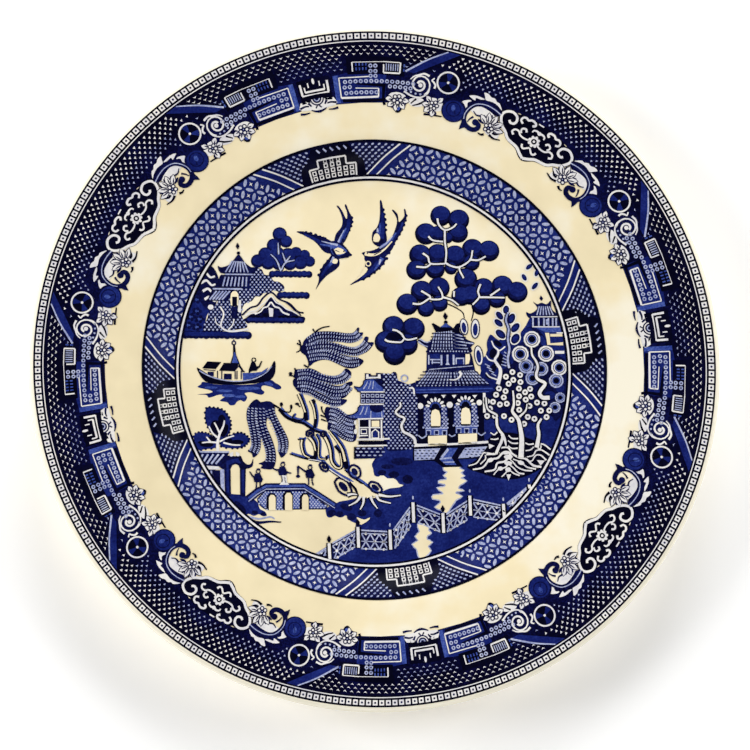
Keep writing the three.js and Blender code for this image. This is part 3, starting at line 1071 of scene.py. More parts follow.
    lay("plinth", "black", 3, [(14.7, -28.8), (14.6, -33.6), (22.8, -33.8), (26, -36.2), (33.4, -36),
            (31.6, -33.2), (40, -32.8), (43.6, -28)])
    lay("plinth", "pale", 4, [(15.2, -29.4), (25, -29), (22.6, -33.2), (15.2, -33.6)],
        [(34.3, -28.8), (42.8, -28.2), (40, -31.8), (38, -32.4), (31.6, -32.8)])
    lay("plinth", "white", 5, [(43.2, -27.2), (45.5, -28), (43.4, -29.2)])
    lay("plinth", "blue", 4, [(27.6, -28.9), (31.6, -28.8), (29.2, -32.5), (31, -35.3), (27, -35.3),
            (24.6, -33.2)])
    lay("plinth", "pale", 5, stroke([(24.8, -33.1), (29.2, -32.6)], 0.6), stroke([(26, -34.3), (30.2, -34.2)],
            0.5), stroke([(28, -29.3), (25.4, -32.6)], 0.9))
    for row in range(4):
        y = -30 - 0.98 * row
        for brick in range(7):
            x = 15.6 + 1.7 * brick + (row % 2) * 0.8
            if x < 24.4 + (y + 29) * 0.55:
                lay("plinth", "navy", 5, disc(x, y, 0.5, 0.22, steps=6), disc(x + 18.6 - (y + 29) * 0.3,
                        y + 0.6, 0.5, 0.22, steps=6))


def garden_house():
    """The small two-storey house beside the pagoda."""
    m = "garden_house"
    lay(m, "navy", 3, [(-3.2, -0.6), (-1, -0.8), (-0.9, -1.4), (1, -1.4), (1, -0.5), (3.6, -0.6), (3.8, -3),
            (-3.2, -3)])
    lay(m, "white", 4, [(-2.7, -1), (-1.9, -1), (-1.8, -2), (1.6, -2), (1.7, -1), (2.6, -1), (2.8, -2.8),
            (-2.8, -2.8)])
    upper = smooth([(-3, -3), (3.8, -3), (4.4, -7.6), (-4.8, -7.8), (-6.2, -7), (-7.4, -5.7), (-5.2, -6.1),
                       (-3.8, -4.7)], cuts=2)
    lower = smooth([(-5, -12.8), (3.6, -12.8), (4, -17.9), (-6.4, -18), (-9, -17.8), (-10.2, -16.8),
                       (-8, -16.4), (-6, -15)], cuts=2)
    lay(m, "blue", 3, upper, lower)
    lay(m, "navy", 4, contour(upper, 0.45), contour(lower, 0.45), [(0.2, -3.1), (4, -3.1), (4.2, -6.6),
            (2, -5)], disc(1.2, -13.6, 2.7, 2), box(-5, -12.2, 4.2, -8), box(-5.6, -25.3, 3.4, -18.4))
    lay(m, "pale", 4, *[stroke([(x0, y0), (x0 + lean * 0.4, y0 - 1.6), (x0 + lean, y0 - 3)], 0.3, 0.45)
            for x0, y0, lean in ((-2.2, -3.6, -1.6), (-1, -3.6, -1), (0, -3.6, -0.4), (-3.8, -13.4, -1.4),
                (-2.4, -13.4, -0.9), (-1, -15, -0.2), (3, -15, 0.2))])
    lay(m, "white", 5, stroke([(-4.8, -7.8), (4.2, -7.7)], 0.4), stroke([(-5, -12.5), (3.8, -12.4)], 0.45),
        stroke([(-6.1, -18.1), (3.6, -17.8)], 0.5), box(-1.9, -25.4, -1.2, -18.4),
        box(2.6, -25.4, 3.2, -18.4), box(-5.7, -25, -5.3, -18.4), disc(-7, -19.4, 0.5, 0.9),
        disc(-6.9, -22.8, 0.6, 1))
    lay(m, "pale", 5, *[contour(box(x - 0.55, y - 0.5, x + 0.55, y + 0.5), 0.4) for x in (-4, -2.2, -0.4, 1.4,
                3.2) for y in (-9.2, -11.2)])
    lay(m, "black", 5, box(-5.2, -20.9, -2.3, -18.6))
    lay(m, "cream", 5, box(-0.8, -21, 2.1, -18.7))
    lay(m, "white", 6, contour(smooth([(-0.7, -25.2), (1.8, -25.2), (1.8, -23), (0.6, -21.9), (-0.7, -23)],
                cuts=1), 0.5), contour(box(-4.8, -23.6, -2.7, -22), 0.5),
        stroke([(-5.3, -21.3), (2.4, -21.3)], 0.4), stroke([(-5.4, -24.4), (-2.2, -24.3)], 0.45),
        stroke([(-6.4, -25.9), (6, -25.5)], 0.6), stroke([(-6.5, -28.2), (4.8, -28)], 0.5))
    lay(m, "cobalt", 6, box(-0.3, -25.1, 1.4, -22.6))
    lay(m, "black", 5, box(-5.8, -27.8, 4.8, -26.3), box(-7.5, -33.2, -6.9, -28.6))
    wall = [(-7, -28.7), (3.2, -28.5), (4, -30), (1.6, -32.9), (-7, -33.1)]
    lay(m, "navy", 3, wall)
    lay(m, "pale", 4, *sprinkled(wall, 2.1, 0.72, 0.3))


def spotted_bush():
    """The bush drawn in pale spots, with a bare branch through it."""
    bush = smooth([(3.4, -2), (4.6, -0.7), (6.4, -1), (7.6, 0), (8.8, -0.8), (9.4, -4.2), (12.4, -4.6),
                      (15, -5.6), (15.4, -8.8), (16.6, -10), (16.7, -23), (15, -28.8), (8, -30), (4.6, -29.6),
                      (4.8, -26), (3.4, -24), (3.2, -19), (4, -16), (3.6, -8)], cuts=2)
    lay("bush", "navy", 4, bush)
    lay("bush", "pale", 5, *sprinkled(bush, 1.62, 0.44, 0.38))
    branch = [(9.9, -11.6), (10.1, -13.2), (8.3, -15.2), (9.4, -16.7), (11.6, -17.8), (10.4, -20.4),
              (11.2, -22.8), (13.2, -23.8), (15.2, -25.4), (15.6, -27.4)]
    lay("bush", "black", 5, stroke(branch, 1.5, 2.2))
    lay("bush", "white", 6, stroke(branch, 0.6, 1.1))
    lay("bush", "pale", 3, contour(disc(11.7, -2.5, 1.25), 0.5))


def leaf_ball(x, y, r):
    """A round tuft of leaves, dark along its lower edge."""
    lay("round_tree", "black", 1, disc(x, y, r * 1.07))
    lay("round_tree", "navy", 2, disc(x + 0.1, y + r * 0.14, r * 0.98, r * 0.92))
    lay("round_tree", "cobalt", 3, disc(x + r * 0.04, y + r * 0.26, r * 0.84, r * 0.72))


def round_tree():
    """The tall tree with round tufts, which stands over the pagoda."""
    for tuft in ((26, 60, 3.7), (32.8, 58.5, 3.8), (32.5, 53.5, 3.6), (20.3, 53, 3.9), (25, 53, 3),
                 (28.5, 51.5, 2), (18, 44.8, 3.9), (24.7, 45.2, 3.7), (31.3, 44.5, 3.9), (38, 47.2, 3.8),
                 (44.2, 46.6, 3.8), (16.5, 39, 3.6), (23.7, 39.3, 3.4), (29.7, 39.8, 2.3), (37.5, 42, 3),
                 (35.3, 35.5, 4.1), (25, 32.2, 3.9), (18.5, 30.8, 3.9), (13, 25.8, 3.9), (20, 24.2, 3),
                 (25.2, 26.2, 3), (33.5, 29, 3.5), (37, 29.5, 3.5), (42, 32.2, 3.7), (49.2, 33, 3.9),
                 (54.8, 30.8, 3.8), (47, 28, 3.2), (41, 25.5, 3.4), (7.7, 17.1, 4), (15.2, 16.4, 4.1),
                 (4.9, 11.3, 4.1), (12.7, 10.4, 3.9), (8, 6.7, 4)):
        leaf_ball(*tuft)
    lay("round_tree", "black", 5, [(4.4, 12.8), (6, 15), (9, 14.8), (11.3, 12.6), (8, 11.9)])
    for branch in ([(24.7, 59), (25.3, 56.5), (27.5, 54.5), (30.5, 55.5), (32, 57)],
                   [(27.5, 54.5), (27.5, 50), (28, 46), (27.6, 41.5)], [(21.2, 52), (23, 50.5), (26.8, 50)],
                   [(19, 45.5), (21, 44), (22, 41.5), (27.4, 41.5)], [(16.5, 40.3), (20, 40.1), (22, 41.3)],
                   [(27.6, 41.8), (30, 40.6), (33, 40.3), (37, 43), (38, 46.8)], [(37, 43.2), (40, 43),
                       (43, 44.5)], [(33, 40.3), (33, 39), (34.5, 36)], [(18.3, 31), (21.5, 29), (22, 27.8),
                       (26, 28), (26.2, 30), (24.8, 32.6)], [(15, 26.1), (18, 26), (21.8, 28.4)],
                   [(26.3, 28.7), (29.8, 27.6), (32.5, 25.6)], [(30.8, 31), (30.7, 28.8)],
                   [(40.9, 33.8), (39.9, 31), (40.3, 28.7), (37.8, 25.8)], [(40.3, 28.7), (44, 28.7),
                       (50, 28.6)], [(44.5, 29.3), (48.3, 32)], [(7.3, 16), (9, 15.6), (10.8, 14.3),
                       (11.8, 12.7), (13.5, 12.2), (16.6, 12.9)], [(4.4, 12.3), (5.5, 11.6), (8, 11.3),
                       (10.5, 11.3), (11.6, 12.4)]):
        lay("round_tree", "black", 5, stroke(branch, 1.5, 1.4))
        lay("round_tree", "white", 6, stroke(branch, 0.75, 0.6))
    lay("round_tree", "black", 1, stroke([(28.5, 26), (31.5, 24.6), (34, 22.8), (34.6, 20.6)], 0.5, 0.35),
        stroke([(37.8, 25), (38, 22.6), (37.2, 19.6)], 0.5, 0.35))


def long_leaves():
    """The pointed leaves, outlined, that hang beside the pagoda, and the sprays beyond them."""
    for x, y, length, width, turn in ((34.4, 17.3, 3.3, 1.7, 97), (38.7, 16.6, 3.9, 1.8, 88),
            (39.9, 6.3, 4, 1.8, 96)):
        lay("leaves", "navy", 3, disc(x, y, length, width, turn, 18))
        lay("leaves", "white", 4, disc(x, y, length - 0.4, width - 0.4, turn, 16))
        lay("leaves", "cobalt", 5, disc(x, y - 0.3, length * 0.62, width * 0.52, turn, 12))
    for x, y, length, width, turn in ((50.5, 24, 1.6, 1.2, 80), (48, 21.7, 1.8, 1.1, -52),
            (52.5, 20.6, 2.1, 1.3, 66), (47.6, 18.9, 1.9, 1.1, -40), (53.9, 17.1, 2.1, 1.3, 48),
            (48.3, 14.6, 2.2, 1.4, -42), (53.9, 12.9, 2.1, 1.5, 58), (61.6, 33.2, 1.6, 0.8, 50),
            (57.6, 36.5, 1.4, 0.8, -60), (59.5, 40.6, 1.5, 0.8, 40), (62.4, 38.3, 1.5, 0.8, 70)):
        lay("leaves", "white", 3, disc(x, y, length + 0.5, width + 0.45, turn, 14))
        lay("leaves", "navy", 4, disc(x, y, length, width, turn, 14))
        lay("leaves", "cobalt", 5, disc(x, y, length * 0.7, width * 0.6, turn, 10))
    stem = [(51.3, 23), (50.4, 20), (51.4, 16.6), (51, 12.6), (51.6, 9), (50.9, 5), (51.4, 1.6)]
    lay("leaves", "navy", 4, stroke(stem, 1.5, 1.7))
    lay("leaves", "pale", 5, stroke(stem, 0.6, 0.9))
    frond = smooth([(44.4, 14.4), (46.4, 13), (49, 11.2), (50.6, 9.4), (51.2, 5.6), (50, 2.2), (48.4, 0.6),
                       (46.4, -4), (42.6, -3), (40.6, 1), (41, 4.6), (43.2, 7.4), (43, 11.2)], cuts=3)
    lay("leaves", "cobalt", 3, frond)
    lay("leaves", "black", 4, disc(45.3, 7.2, 1.3, 2, -20), disc(48.2, 4.8, 1.2, 2.6, 8),
        disc(47.2, 11, 1.8, 1, -35), disc(45.4, 1.5, 1.1, 2.4, -28), disc(43.6, -1.6, 1.5, 0.8, -30))
    for vein in ([(44.8, 12), (45.8, 9.8), (47.3, 8.4), (47.1, 6.6), (46, 4.8), (46.9, 3), (48, 1.2),
                     (47.9, -1.4), (47, -4.6)], [(42.6, 6.4), (43.8, 4.8), (45.8, 4.2)],
                 [(50, 9.9), (48.6, 8.7), (47.4, 8.2)], [(42.6, -0.2), (44, -1.8), (46.8, -2.8)]):
        lay("leaves", "white", 5, stroke(vein, 0.45, 1.5 if len(vein) > 4 else 0.6))
    lay("leaves", "pale", 5, *[stroke([(48.4 + 0.3 * i % 2, 3 + 1.2 * i), (50.4, 2.4 + 1.2 * i)], 0.4)
            for i in range(5)], *[stroke([(42.2 + 0.8 * i, 3.2 - 1.2 * i), (44 + 0.8 * i, 2.2 - 1.2 * i)],
                0.4) for i in range(4)])


def orchard():
    """The fruit trees on the right: large ringed fruit above, and small ones below."""
    lay("orchard", "navy", 1, smooth([(58, 17), (61.5, 16.8), (64.5, 14.5), (66.5, 10.4), (70, 6.5), (73, 4),
                (72.6, -8), (70.6, -17), (66, -19.2), (58, -20.6), (50, -19), (42, -18), (42, -9), (46, -5.8),
                (49, 1), (52, 2.4), (53, 9.4), (57, 12)], cuts=3))
    lay("orchard", "cobalt", 2, disc(58.2, 15.6, 2.4, 1.2, 20), disc(64.4, 12, 1, 2.4, 20),
        disc(70.6, -6, 1.6, 1.6), disc(60.2, 5.4, 1.6, 2), disc(52.4, 6, 0.8, 3), disc(69, 8.2, 2.4, 1, -40),
        disc(66.8, -8.6, 2, 1.5), disc(48, -19.4, 5.4, 2.4), disc(60, -21.6, 3, 2.4), disc(66.2, -19.8, 2.6,
            4.4, 25))
    for x, y, r in ((60.2, 12.7, 3.1), (55.7, 7, 3.1), (65.5, 7.2, 3), (70.4, 1.9, 2.95), (57.8, 2.4, 2.7),
                    (63.6, 1.4, 2.6), (60.2, -2.2, 2.6), (69.2, -3.1, 2.7), (70.6, -9.6, 1.9),
                    (68.6, -13.3, 2)):
        edge = [(x + (r + 0.12 * (i % 2)) * math.cos(math.tau * i / 24),
                    y + (r + 0.12 * (i % 2)) * math.sin(math.tau * i / 24)) for i in range(24)]
        lay("orchard", "pale" if r < 2.9 else "white", 3, edge)
        lay("orchard", "navy", 4, [disc(x, y, r * 0.79), disc(x, y, r * 0.7)])
        lay("orchard", "blue", 4, [disc(x, y, r * 0.58), disc(x, y, r * 0.42)])
        lay("orchard", "black", 5, disc(x, y, r * 0.41))
    for x, y in ((52.6, 0.1), (50.1, -1.7), (55.5, -1), (52.9, -2.9), (55.6, -3.7), (51.1, -4.4),
                 (47.4, -6.2), (49.9, -7.2), (55, -6.2), (59.2, -6.3), (57.3, -7.6), (46.3, -8.6),
                 (49.2, -9.6), (55, -9.1), (59.6, -9.2), (57.5, -10.4), (42.8, -11.1), (45.1, -11.3),
                 (47.7, -12.3), (50.3, -12), (54.5, -11.7), (61.8, -11.5), (64.6, -11.8), (58.9, -12.8),
                 (43.9, -13.9), (55, -14.3), (63.2, -14.6), (66.4, -14.5), (42.8, -16.7), (45.8, -16.7),
                 (49.2, -16.7), (58.2, -17), (60.7, -17.7), (65.3, -17), (52, -18.1), (56.8, -19.6)):
        lay("orchard", "black", 4, disc(x, y, 1.45, steps=10))
        lay("orchard", "white", 5, [disc(x, y, 1.12, steps=10), disc(x, y, 0.42, steps=6)])
    trunks = [([(59.9, 9.6), (60.2, 6.6), (61.6, 4.4), (62.3, 2), (61.6, -0.8), (62.2, -2.6), (65, -4.2),
                      (63.4, -6.6), (62.8, -8.2), (64, -9.6), (66.6, -9.6)], 0.6, 1.6),
              ([(52.7, -7), (53, -12), (52.4, -15), (54.6, -18), (55.4, -22), (55.8, -26), (55.4, -32.4)],
                  0.6, 2), ([(46.4, -17.4), (46.5, -20.2), (47.4, -22.2), (48.6, -24), (48, -26.6),
                      (47, -28.6), (46, -31)], 0.9, 1.1), ([(48.4, -23.6), (49.4, -25.8), (49.8, -28)], 1.4,
                  0.5), ([(63.4, -17.6), (62, -20), (62.3, -23.4), (61.8, -26.6), (61.4, -28.6)], 0.7, 1.7),
              ([(55, -17), (57.4, -14.6), (58, -12)], 0.8, 0.4), ([(46, -16), (43, -14), (42.4, -9.6)], 0.8,
                  0.5)]
    for way, start, end in trunks:
        lay("trunks", "black", 6, stroke(way, start + 0.8, end + 0.9))
        lay("trunks", "white", 7, stroke(way, start, end))


def rockery():
    """The banked rocks under the orchard, drawn as stepped white lines on black."""
    lay("rockery", "black", 3, smooth([(44.5, -24), (52, -23), (58, -25), (66, -28), (66.6, -30),
                (63.6, -35.6), (60.4, -38), (54, -40.4), (47, -40.2), (41, -38.6), (35, -36.2), (38.4, -33.4),
                (41, -30)], cuts=3))
    ways = [[(46.5, -29), (50.4, -28.6), (52, -30.8), (54.6, -32.4), (57.4, -33), (60, -35.4), (63, -36)],
            [(35.6, -35.6), (38.6, -34.6), (40.4, -32), (41.6, -30.6), (45, -31), (46.8, -29.2)],
            [(37.2, -37), (41, -36.2), (43.4, -33.4), (46.6, -32.6), (48.4, -30.8), (50.6, -30.4),
                (52, -32.4)], [(40, -35), (42, -33), (42.2, -31.4), (45.6, -31.2), (47.4, -30.4)],
            [(41.6, -37.8), (45.4, -37), (46.4, -34.6), (49, -34), (50.6, -32.6)], [(45, -39), (47, -36.8),
                (49.4, -36.2), (50.6, -34.8)], [(48, -39.8), (49.6, -38.2), (50.7, -36.8)],
            [(50.8, -32.6), (52.4, -34.2), (54, -36), (56.6, -37.2), (59.6, -37.4)],
            [(50.8, -35), (52.6, -36.4), (54.4, -38.2), (56.6, -38.6)], [(50.8, -37), (52.6, -38.4),
                (54.8, -39.2)], [(52.4, -33), (55.4, -34.2), (57.6, -36), (61, -36.8)],
            [(57.8, -33.8), (59.6, -33.6), (61, -31.6), (63, -31.6), (65, -33.6)],
            [(57.6, -32.2), (60, -31.6), (61.2, -29.8), (63.4, -29.6), (66.2, -31.6)],
            [(57.2, -29.8), (59.2, -29.4), (61.4, -27.4), (64, -27.4), (66.6, -29.4)],
            [(56.6, -26.6), (58.4, -27.4), (60.4, -27.2)], [(50.8, -24), (52.2, -25.2), (54.8, -25.2)],
            [(50.6, -26), (52.2, -27), (54.8, -27)], [(50.6, -28), (52.2, -29), (54.6, -28.8)],
            [(44, -25.4), (45.6, -25.6), (47, -25.2)], [(44, -23), (45.4, -23.8), (46.6, -22.8)]]
    for number, way in enumerate(ways):
        thick = 0.85 if number in (0, 2, 4) else 0.6
        lay("rockery", "white", 4, stroke(way, thick * 0.7, thick))
    lay("rockery", "white", 4, disc(50.6, -32.2, 1.6, 0.9), disc(50.6, -34.6, 1.5, 0.8),
        disc(50.5, -37, 1.1, 0.9), [(49.8, -38.8), (51.6, -38.8), (50.6, -41.2)], disc(43.8, -33.4, 1.3, 0.8,
            20), disc(55.4, -34.4, 1.3, 0.8, -20), disc(47.6, -36.6, 1, 0.8), disc(62.4, -28.2, 0.9, 1.2),
        [(61.4, -33.4), (64.4, -33.6), (62.8, -35.4)], disc(49.6, -30.6, 1.3, 0.7))


def far_house():
    """The little house on the right-hand shore, with its steps."""
    m = "far_house"
    lay(m, "navy", 2, [(63.8, 29.6), (63.3, 28.4), (64, 27.4), (64.7, 28.4)],
        smooth([(60.8, 27.2), (62.4, 26.2), (64, 26.8), (66, 26.2), (67.6, 27.6), (67.8, 24.6), (69.4, 22.6),
                (70, 21.6), (61.4, 21.4), (59.6, 20.7), (58.4, 21.8), (58.2, 23.2), (59.6, 22.6),
                (61.6, 23.6), (62.4, 25)], cuts=3))
    lay(m, "pale", 3, *hatched((62.8, 25.4), (67.4, 25.4), (69, 22), (61.6, 22), 6, 0.45))
    lay(m, "navy", 2, [(60.2, 21.3), (70, 21.3), (70.8, 17.4), (60.2, 17.4)])
    lay(m, "pale", 3, *[box(x, 17.8, x + 0.6, 21) for x in (60.4, 62.6, 64.6, 66.3, 67.9, 69.2)],
        box(65.6, 18.4, 66.8, 20.4))
    lay(m, "blue", 3, [(61, 17.6), (71, 17.6), (71.4, 15.4), (65, 15.6)])
    lay(m, "cream", 3, [(65.2, 15.2), (66.8, 15.2), (67.2, 11.2), (72, 11.6), (72, 10.4), (66, 10.6),
            (65.8, 12.6)], box(67.2, 13.8, 71.8, 14.8))
    lay(m, "cobalt", 3, box(67.2, 11.8, 71.9, 13.6))
    lay(m, "white", 4, stroke([(60.4, 17.5), (70.8, 17.5)], 0.4), stroke([(69.6, 15.2), (72, 15.1)], 0.5),
        box(68.9, 7.2, 72.4, 8.3), stroke([(60, 21.3), (70, 21.4)], 0.35))


def willow_frond(outline, lines):
    """A hanging mass of willow leaves: rows of short pale strokes in a dark field."""
    lay("willow", "navy", 2, smooth(outline, cuts=3))
    for line in lines:
        way = [Vector(p) for p in smooth(line, False, 5)]
        for before, here, after in zip(way, way[1:], way[2:]):
            along = (after - before).normalized()
            across = Vector((-along.y, along.x))
            for row in (-1.4, 0.0, 1.4):
                start, end = here + across * (row - 0.42), here + across * (row + 0.42) + along * 0.3
                lay("willow", "pale", 3, stroke([tuple(start), tuple(end)], 0.4, 0.24))


def willow():
    """The willow that leans over the bridge."""
    willow_frond([(-22, 14.9), (-18, 15.3), (-14, 15.1), (-10, 14.6), (-7.4, 14.9), (-5.8, 16.8),
                     (-5.2, 16.2), (-5.4, 14.9), (-3.8, 14.9), (-4.5, 13.2), (-6.5, 11.4), (-9, 10.8),
                     (-12, 11.2), (-16, 11.3), (-20, 10.9), (-24.6, 9.4), (-26.6, 10.2), (-25.6, 12.3),
                     (-23.6, 13.9)], [[(-25, 11), (-21, 13), (-16, 13.3), (-11, 12.8), (-7, 13), (-5, 14.4)]])
    willow_frond([(-26.8, 10), (-24, 9.9), (-20, 11), (-16, 11.1), (-12.5, 10.3), (-9, 9.3), (-6, 9.2),
                     (-4.2, 10.8), (-3.1, 13.3), (-1.7, 12.9), (-2, 11.3), (0.2, 11.1), (-1, 8.9), (-3, 7.2),
                     (-6, 6.1), (-9, 6.2), (-13, 6.9), (-17, 8), (-21, 7.6), (-25.5, 6.4), (-27.5, 8)],
                 [[(-26, 8.4), (-21, 9.4), (-16, 9.5), (-11, 8.2), (-7, 7.6), (-4, 8.9), (-2, 11)]])
    willow_frond([(-27.2, 7.3), (-24, 8), (-20, 8.2), (-16, 7.9), (-12, 6.5), (-8, 5.6), (-6.3, 5.4),
                     (-3.8, 4.3), (-4.5, 2.7), (-7, 1.3), (-10, 1.3), (-12, 2.1), (-14.5, 3.3), (-17, 4.3),
                     (-20, 4.2), (-22.5, 3.2), (-24, 2), (-24.9, 4.5), (-25.6, 6)],
                 [[(-25, 5.6), (-21, 6.3), (-17, 6.2), (-12, 4.4), (-9, 3.6), (-5, 4)]])
    willow_frond([(-29.7, 0), (-28.9, 0.7), (-26, 0.9), (-24, 1.2), (-21.5, 0.3), (-19, -1.2), (-16.5, -1.7),
                     (-14, -1.6), (-12, -0.6), (-10.6, 1.1), (-9.2, 0.6), (-8.3, -0.7), (-9, -2.5),
                     (-11, -4.3), (-13.5, -5), (-16, -4.8), (-20, -3.6), (-24, -2.8), (-29.5, -3)],
                 [[(-29, -1.4), (-25, -0.8), (-20, -2.4), (-15, -3.4), (-11.4, -2.4), (-9.6, -0.6)]])
    willow_frond([(-30, -2.9), (-26, -2.6), (-22, -3.2), (-18, -4.4), (-14.5, -5.4), (-12, -5.3),
                     (-10.2, -4.3), (-8.2, -3.8), (-7.9, -5), (-9, -5.8), (-8, -6.8), (-9.5, -8.5),
                     (-11, -10), (-14, -10.3), (-18, -9), (-22, -7.5), (-26, -7), (-29.8, -6)],
                 [[(-29.4, -4.4), (-25, -4.4), (-20, -5.9), (-15, -7.6), (-11, -7.2), (-9.2, -5.2)]])
    willow_frond([(-29.7, -5.4), (-26, -6.5), (-22, -7.6), (-18, -9.2), (-14, -10.3), (-11, -10.5),
                     (-10, -11), (-11.3, -12.5), (-13.5, -13.2), (-16, -12.9), (-19, -12), (-22, -10),
                     (-24, -8.5), (-26.5, -8.3), (-28.6, -7.5)],
                 [[(-28, -6.8), (-24, -7.4), (-20, -9.4), (-16, -11.4), (-12, -11.6)]])
    willow_frond([(-17.9, -13.6), (-15.8, -13.8), (-13.5, -13.9), (-12, -15), (-9.8, -16.5), (-8, -17.2),
                     (-6.2, -17.6), (-7, -19), (-6.9, -21.5), (-6.4, -24.5), (-7.3, -26.5), (-9.5, -26.6),
                     (-12, -25.6), (-14, -24), (-15.5, -22.7), (-17.4, -22), (-17.3, -19.5), (-18.5, -16.5)],
                 [[(-17, -14.6), (-14, -15.4), (-10.6, -18), (-7.4, -19)], [(-17, -17.4), (-14, -18.4),
                         (-10.8, -21), (-7.6, -21.8)], [(-16.6, -20.4), (-13.4, -21.6), (-10.4, -24),
                         (-7.4, -24.8)]])
    willow_frond([(-47.6, -15), (-46.8, -13.2), (-45.5, -11.6), (-43.8, -10.7), (-42.4, -11.8),
                     (-40.2, -11.4), (-38.4, -11.8), (-37.2, -13.2), (-36.9, -16), (-35.3, -19.5),
                     (-33.7, -22.5), (-32.3, -25.5), (-32, -28.5), (-33, -31.2), (-34.7, -32.8),
                     (-35.9, -30.3), (-35.9, -27), (-37, -23), (-38.6, -19), (-40, -18), (-40.2, -21),
                     (-38.5, -25), (-37.2, -29), (-36.7, -32), (-37, -35.2), (-38, -37), (-40, -37.2),
                     (-42.4, -36.7), (-41.8, -35.7), (-43.2, -35), (-41, -34), (-40.3, -32), (-41, -29),
                     (-42.3, -25), (-42.4, -28.8), (-43.4, -31.3), (-45.2, -32.8), (-45.8, -31.2),
                     (-47.3, -30.3), (-45.9, -28.8), (-46, -26), (-46.8, -22), (-47.7, -18)],
                 [[(-45.4, -13), (-45.6, -18), (-44.8, -23), (-44.2, -28), (-45.2, -31)],
                     [(-42.6, -13), (-42.4, -19), (-40.8, -25), (-39, -30), (-39, -35)],
                     [(-39.4, -13.6), (-37.6, -19), (-35, -24), (-34, -28), (-34.4, -31)]])
    for twig in ([(-22, 14.8), (-20.6, 15.9), (-19, 16.7), (-16.4, 17.2)], [(-28, 11.9), (-27.4, 10),
                     (-27.6, 8), (-29, 7.2)], [(-22.8, 16.2), (-22.2, 15)], [(-28.8, 10.6), (-27.4, 9.8)],
                 [(-26.2, 2.4), (-24.6, 1.6), (-24.2, 4)], [(-31.8, -1.6), (-30.4, -1.8), (-29.4, -2.6)],
                 [(-29.6, 1.2), (-29.4, 0)], [(-37.6, -12.8), (-35.6, -14), (-33.8, -15.3), (-31.6, -15.5),
                     (-31, -14)], [(-19.6, -13.3), (-19.4, -15), (-18, -17)], [(-19.8, -18.2), (-17.6, -19)],
                 [(-29.2, -12.2), (-27.6, -13.6)], [(-20, -16.6), (-18, -17.6)]):
        lay("willow", "black", 3, stroke(twig, 0.65, 0.4))
    lay("willow", "black", 3, disc(-34.7, -12.7, 0.6, 0.9), disc(-31, -13.6, 0.5, 1), disc(-31.2, -0.9, 0.7,
            0.6), disc(-22.5, -11.6, 0.7, 1), disc(-28.8, -12.4, 0.8, 0.5))
    stems = [([(-28.2, -8.6), (-26.8, -12), (-25.6, -15.5), (-25.4, -18.8)], 1.1, 0.9),
             ([(-23.6, -11), (-22.4, -14), (-21.8, -18), (-22.3, -21.6)], 1, 0.7),
             ([(-35.6, -14.4), (-33, -17.3), (-29.5, -19), (-26.5, -19.7), (-24, -21.3), (-21.6, -22.7),
                     (-18.8, -23.4)], 1.1, 0.9), ([(-29.9, -16.4), (-30.4, -17.8), (-28.4, -18.6),
                     (-26.4, -18), (-26, -14)], 0.5, 0.5), ([(-24.3, -24.8), (-22.6, -27), (-21.8, -30),
                     (-22.2, -33.4)], 1.5, 0.8), ([(-21.9, -24), (-20.6, -27), (-20.6, -32.6), (-18, -33.2),
                     (-17.8, -32)], 0.45, 0.4), ([(-19.2, -23.4), (-17.4, -26.5), (-16.3, -30), (-15.8, -34),
                     (-14.2, -36.2), (-12.6, -36.5), (-12, -35), (-12.6, -31), (-14.6, -28.2)], 1.5, 0.5),
             ([(-16.6, -22.6), (-13.8, -26.3), (-11.8, -29.6), (-10.7, -34), (-10.3, -37)], 0.6, 1.4),
             ([(-26.9, -26), (-27.1, -28), (-26.2, -31.4), (-24, -32.7), (-22.3, -32.4)], 1.2, 0.5),
             ([(-28.6, -25.8), (-27, -26), (-26, -25.6)], 0.5, 0.6),
             ([(-31.6, -31.3), (-27, -32.8), (-22, -33.9), (-19.7, -34.4), (-17, -37), (-13, -39.8),
                     (-9.5, -41.8), (-7.2, -44.3), (-6, -46.8), (-6, -48.6)], 0.5, 1.1),
             ([(-11, -37.3), (-8, -40), (-4.5, -42.4), (-1.8, -44.8), (1.5, -46.5), (3.2, -46.8)], 0.5, 1)]
    for number, (way, start, end) in enumerate(stems):
        bare = number < 2 or 3 < number < 9
        lay("trunks", "blue", 1, stroke([(x + 0.6, y + 0.35) for x, y in way], start + 0.3, end + 0.3))
        lay("trunks", "black", 2, stroke(way, start + 0.5 * bare, end + 0.5 * bare))
        if bare:
            lay("trunks", "cream", 3, stroke([(x - 0.15, y - 0.1) for x, y in way[:-1]], start * 0.55,
                    end * 0.6))
    lay("trunks", "white", 3, stroke([(-24.6, -33.3), (-19.6, -34.3), (-16.8, -37), (-12.8, -39.7),
                (-9.3, -41.8)], 0.3, 0.45))
    lay("trunks", "cream", 3, [(-9, -41.6), (-6.6, -44.2), (-5.4, -47.8), (-3.4, -47.8), (-1.4, -47.9),
            (0.6, -47.8), (3.4, -47.2), (0, -46), (-4, -42.8)])
    for x, y, length, width, turn in ((-7.3, -38, 2.7, 2.2, -60), (-11.6, -43.6, 4, 2.4, -48),
            (0.4, -43.9, 2.9, 1.8, -36), (-18.8, -36.2, 2, 1.3, -48), (-24, -23.6, 1.5, 1.3, 0),
            (-19, -23.8, 1.1, 1, 0)):
        c, s = math.cos(math.radians(turn)), math.sin(math.radians(turn))
        rough = []
        for i in range(12):
            a = math.tau * i / 12
            along, beside = (length, width) if i % 2 else (length * 0.88, width * 0.86)
            rough.append((x + along * math.cos(a) * c - width * math.sin(a) * s,
                          y + length * math.cos(a) * s + beside * math.sin(a) * c))
        lay("trunks", "navy", 3, contour(rough, 0.85))
        lay("trunks", "navy", 3, disc(x, y, length * 0.56, width * 0.48, turn))
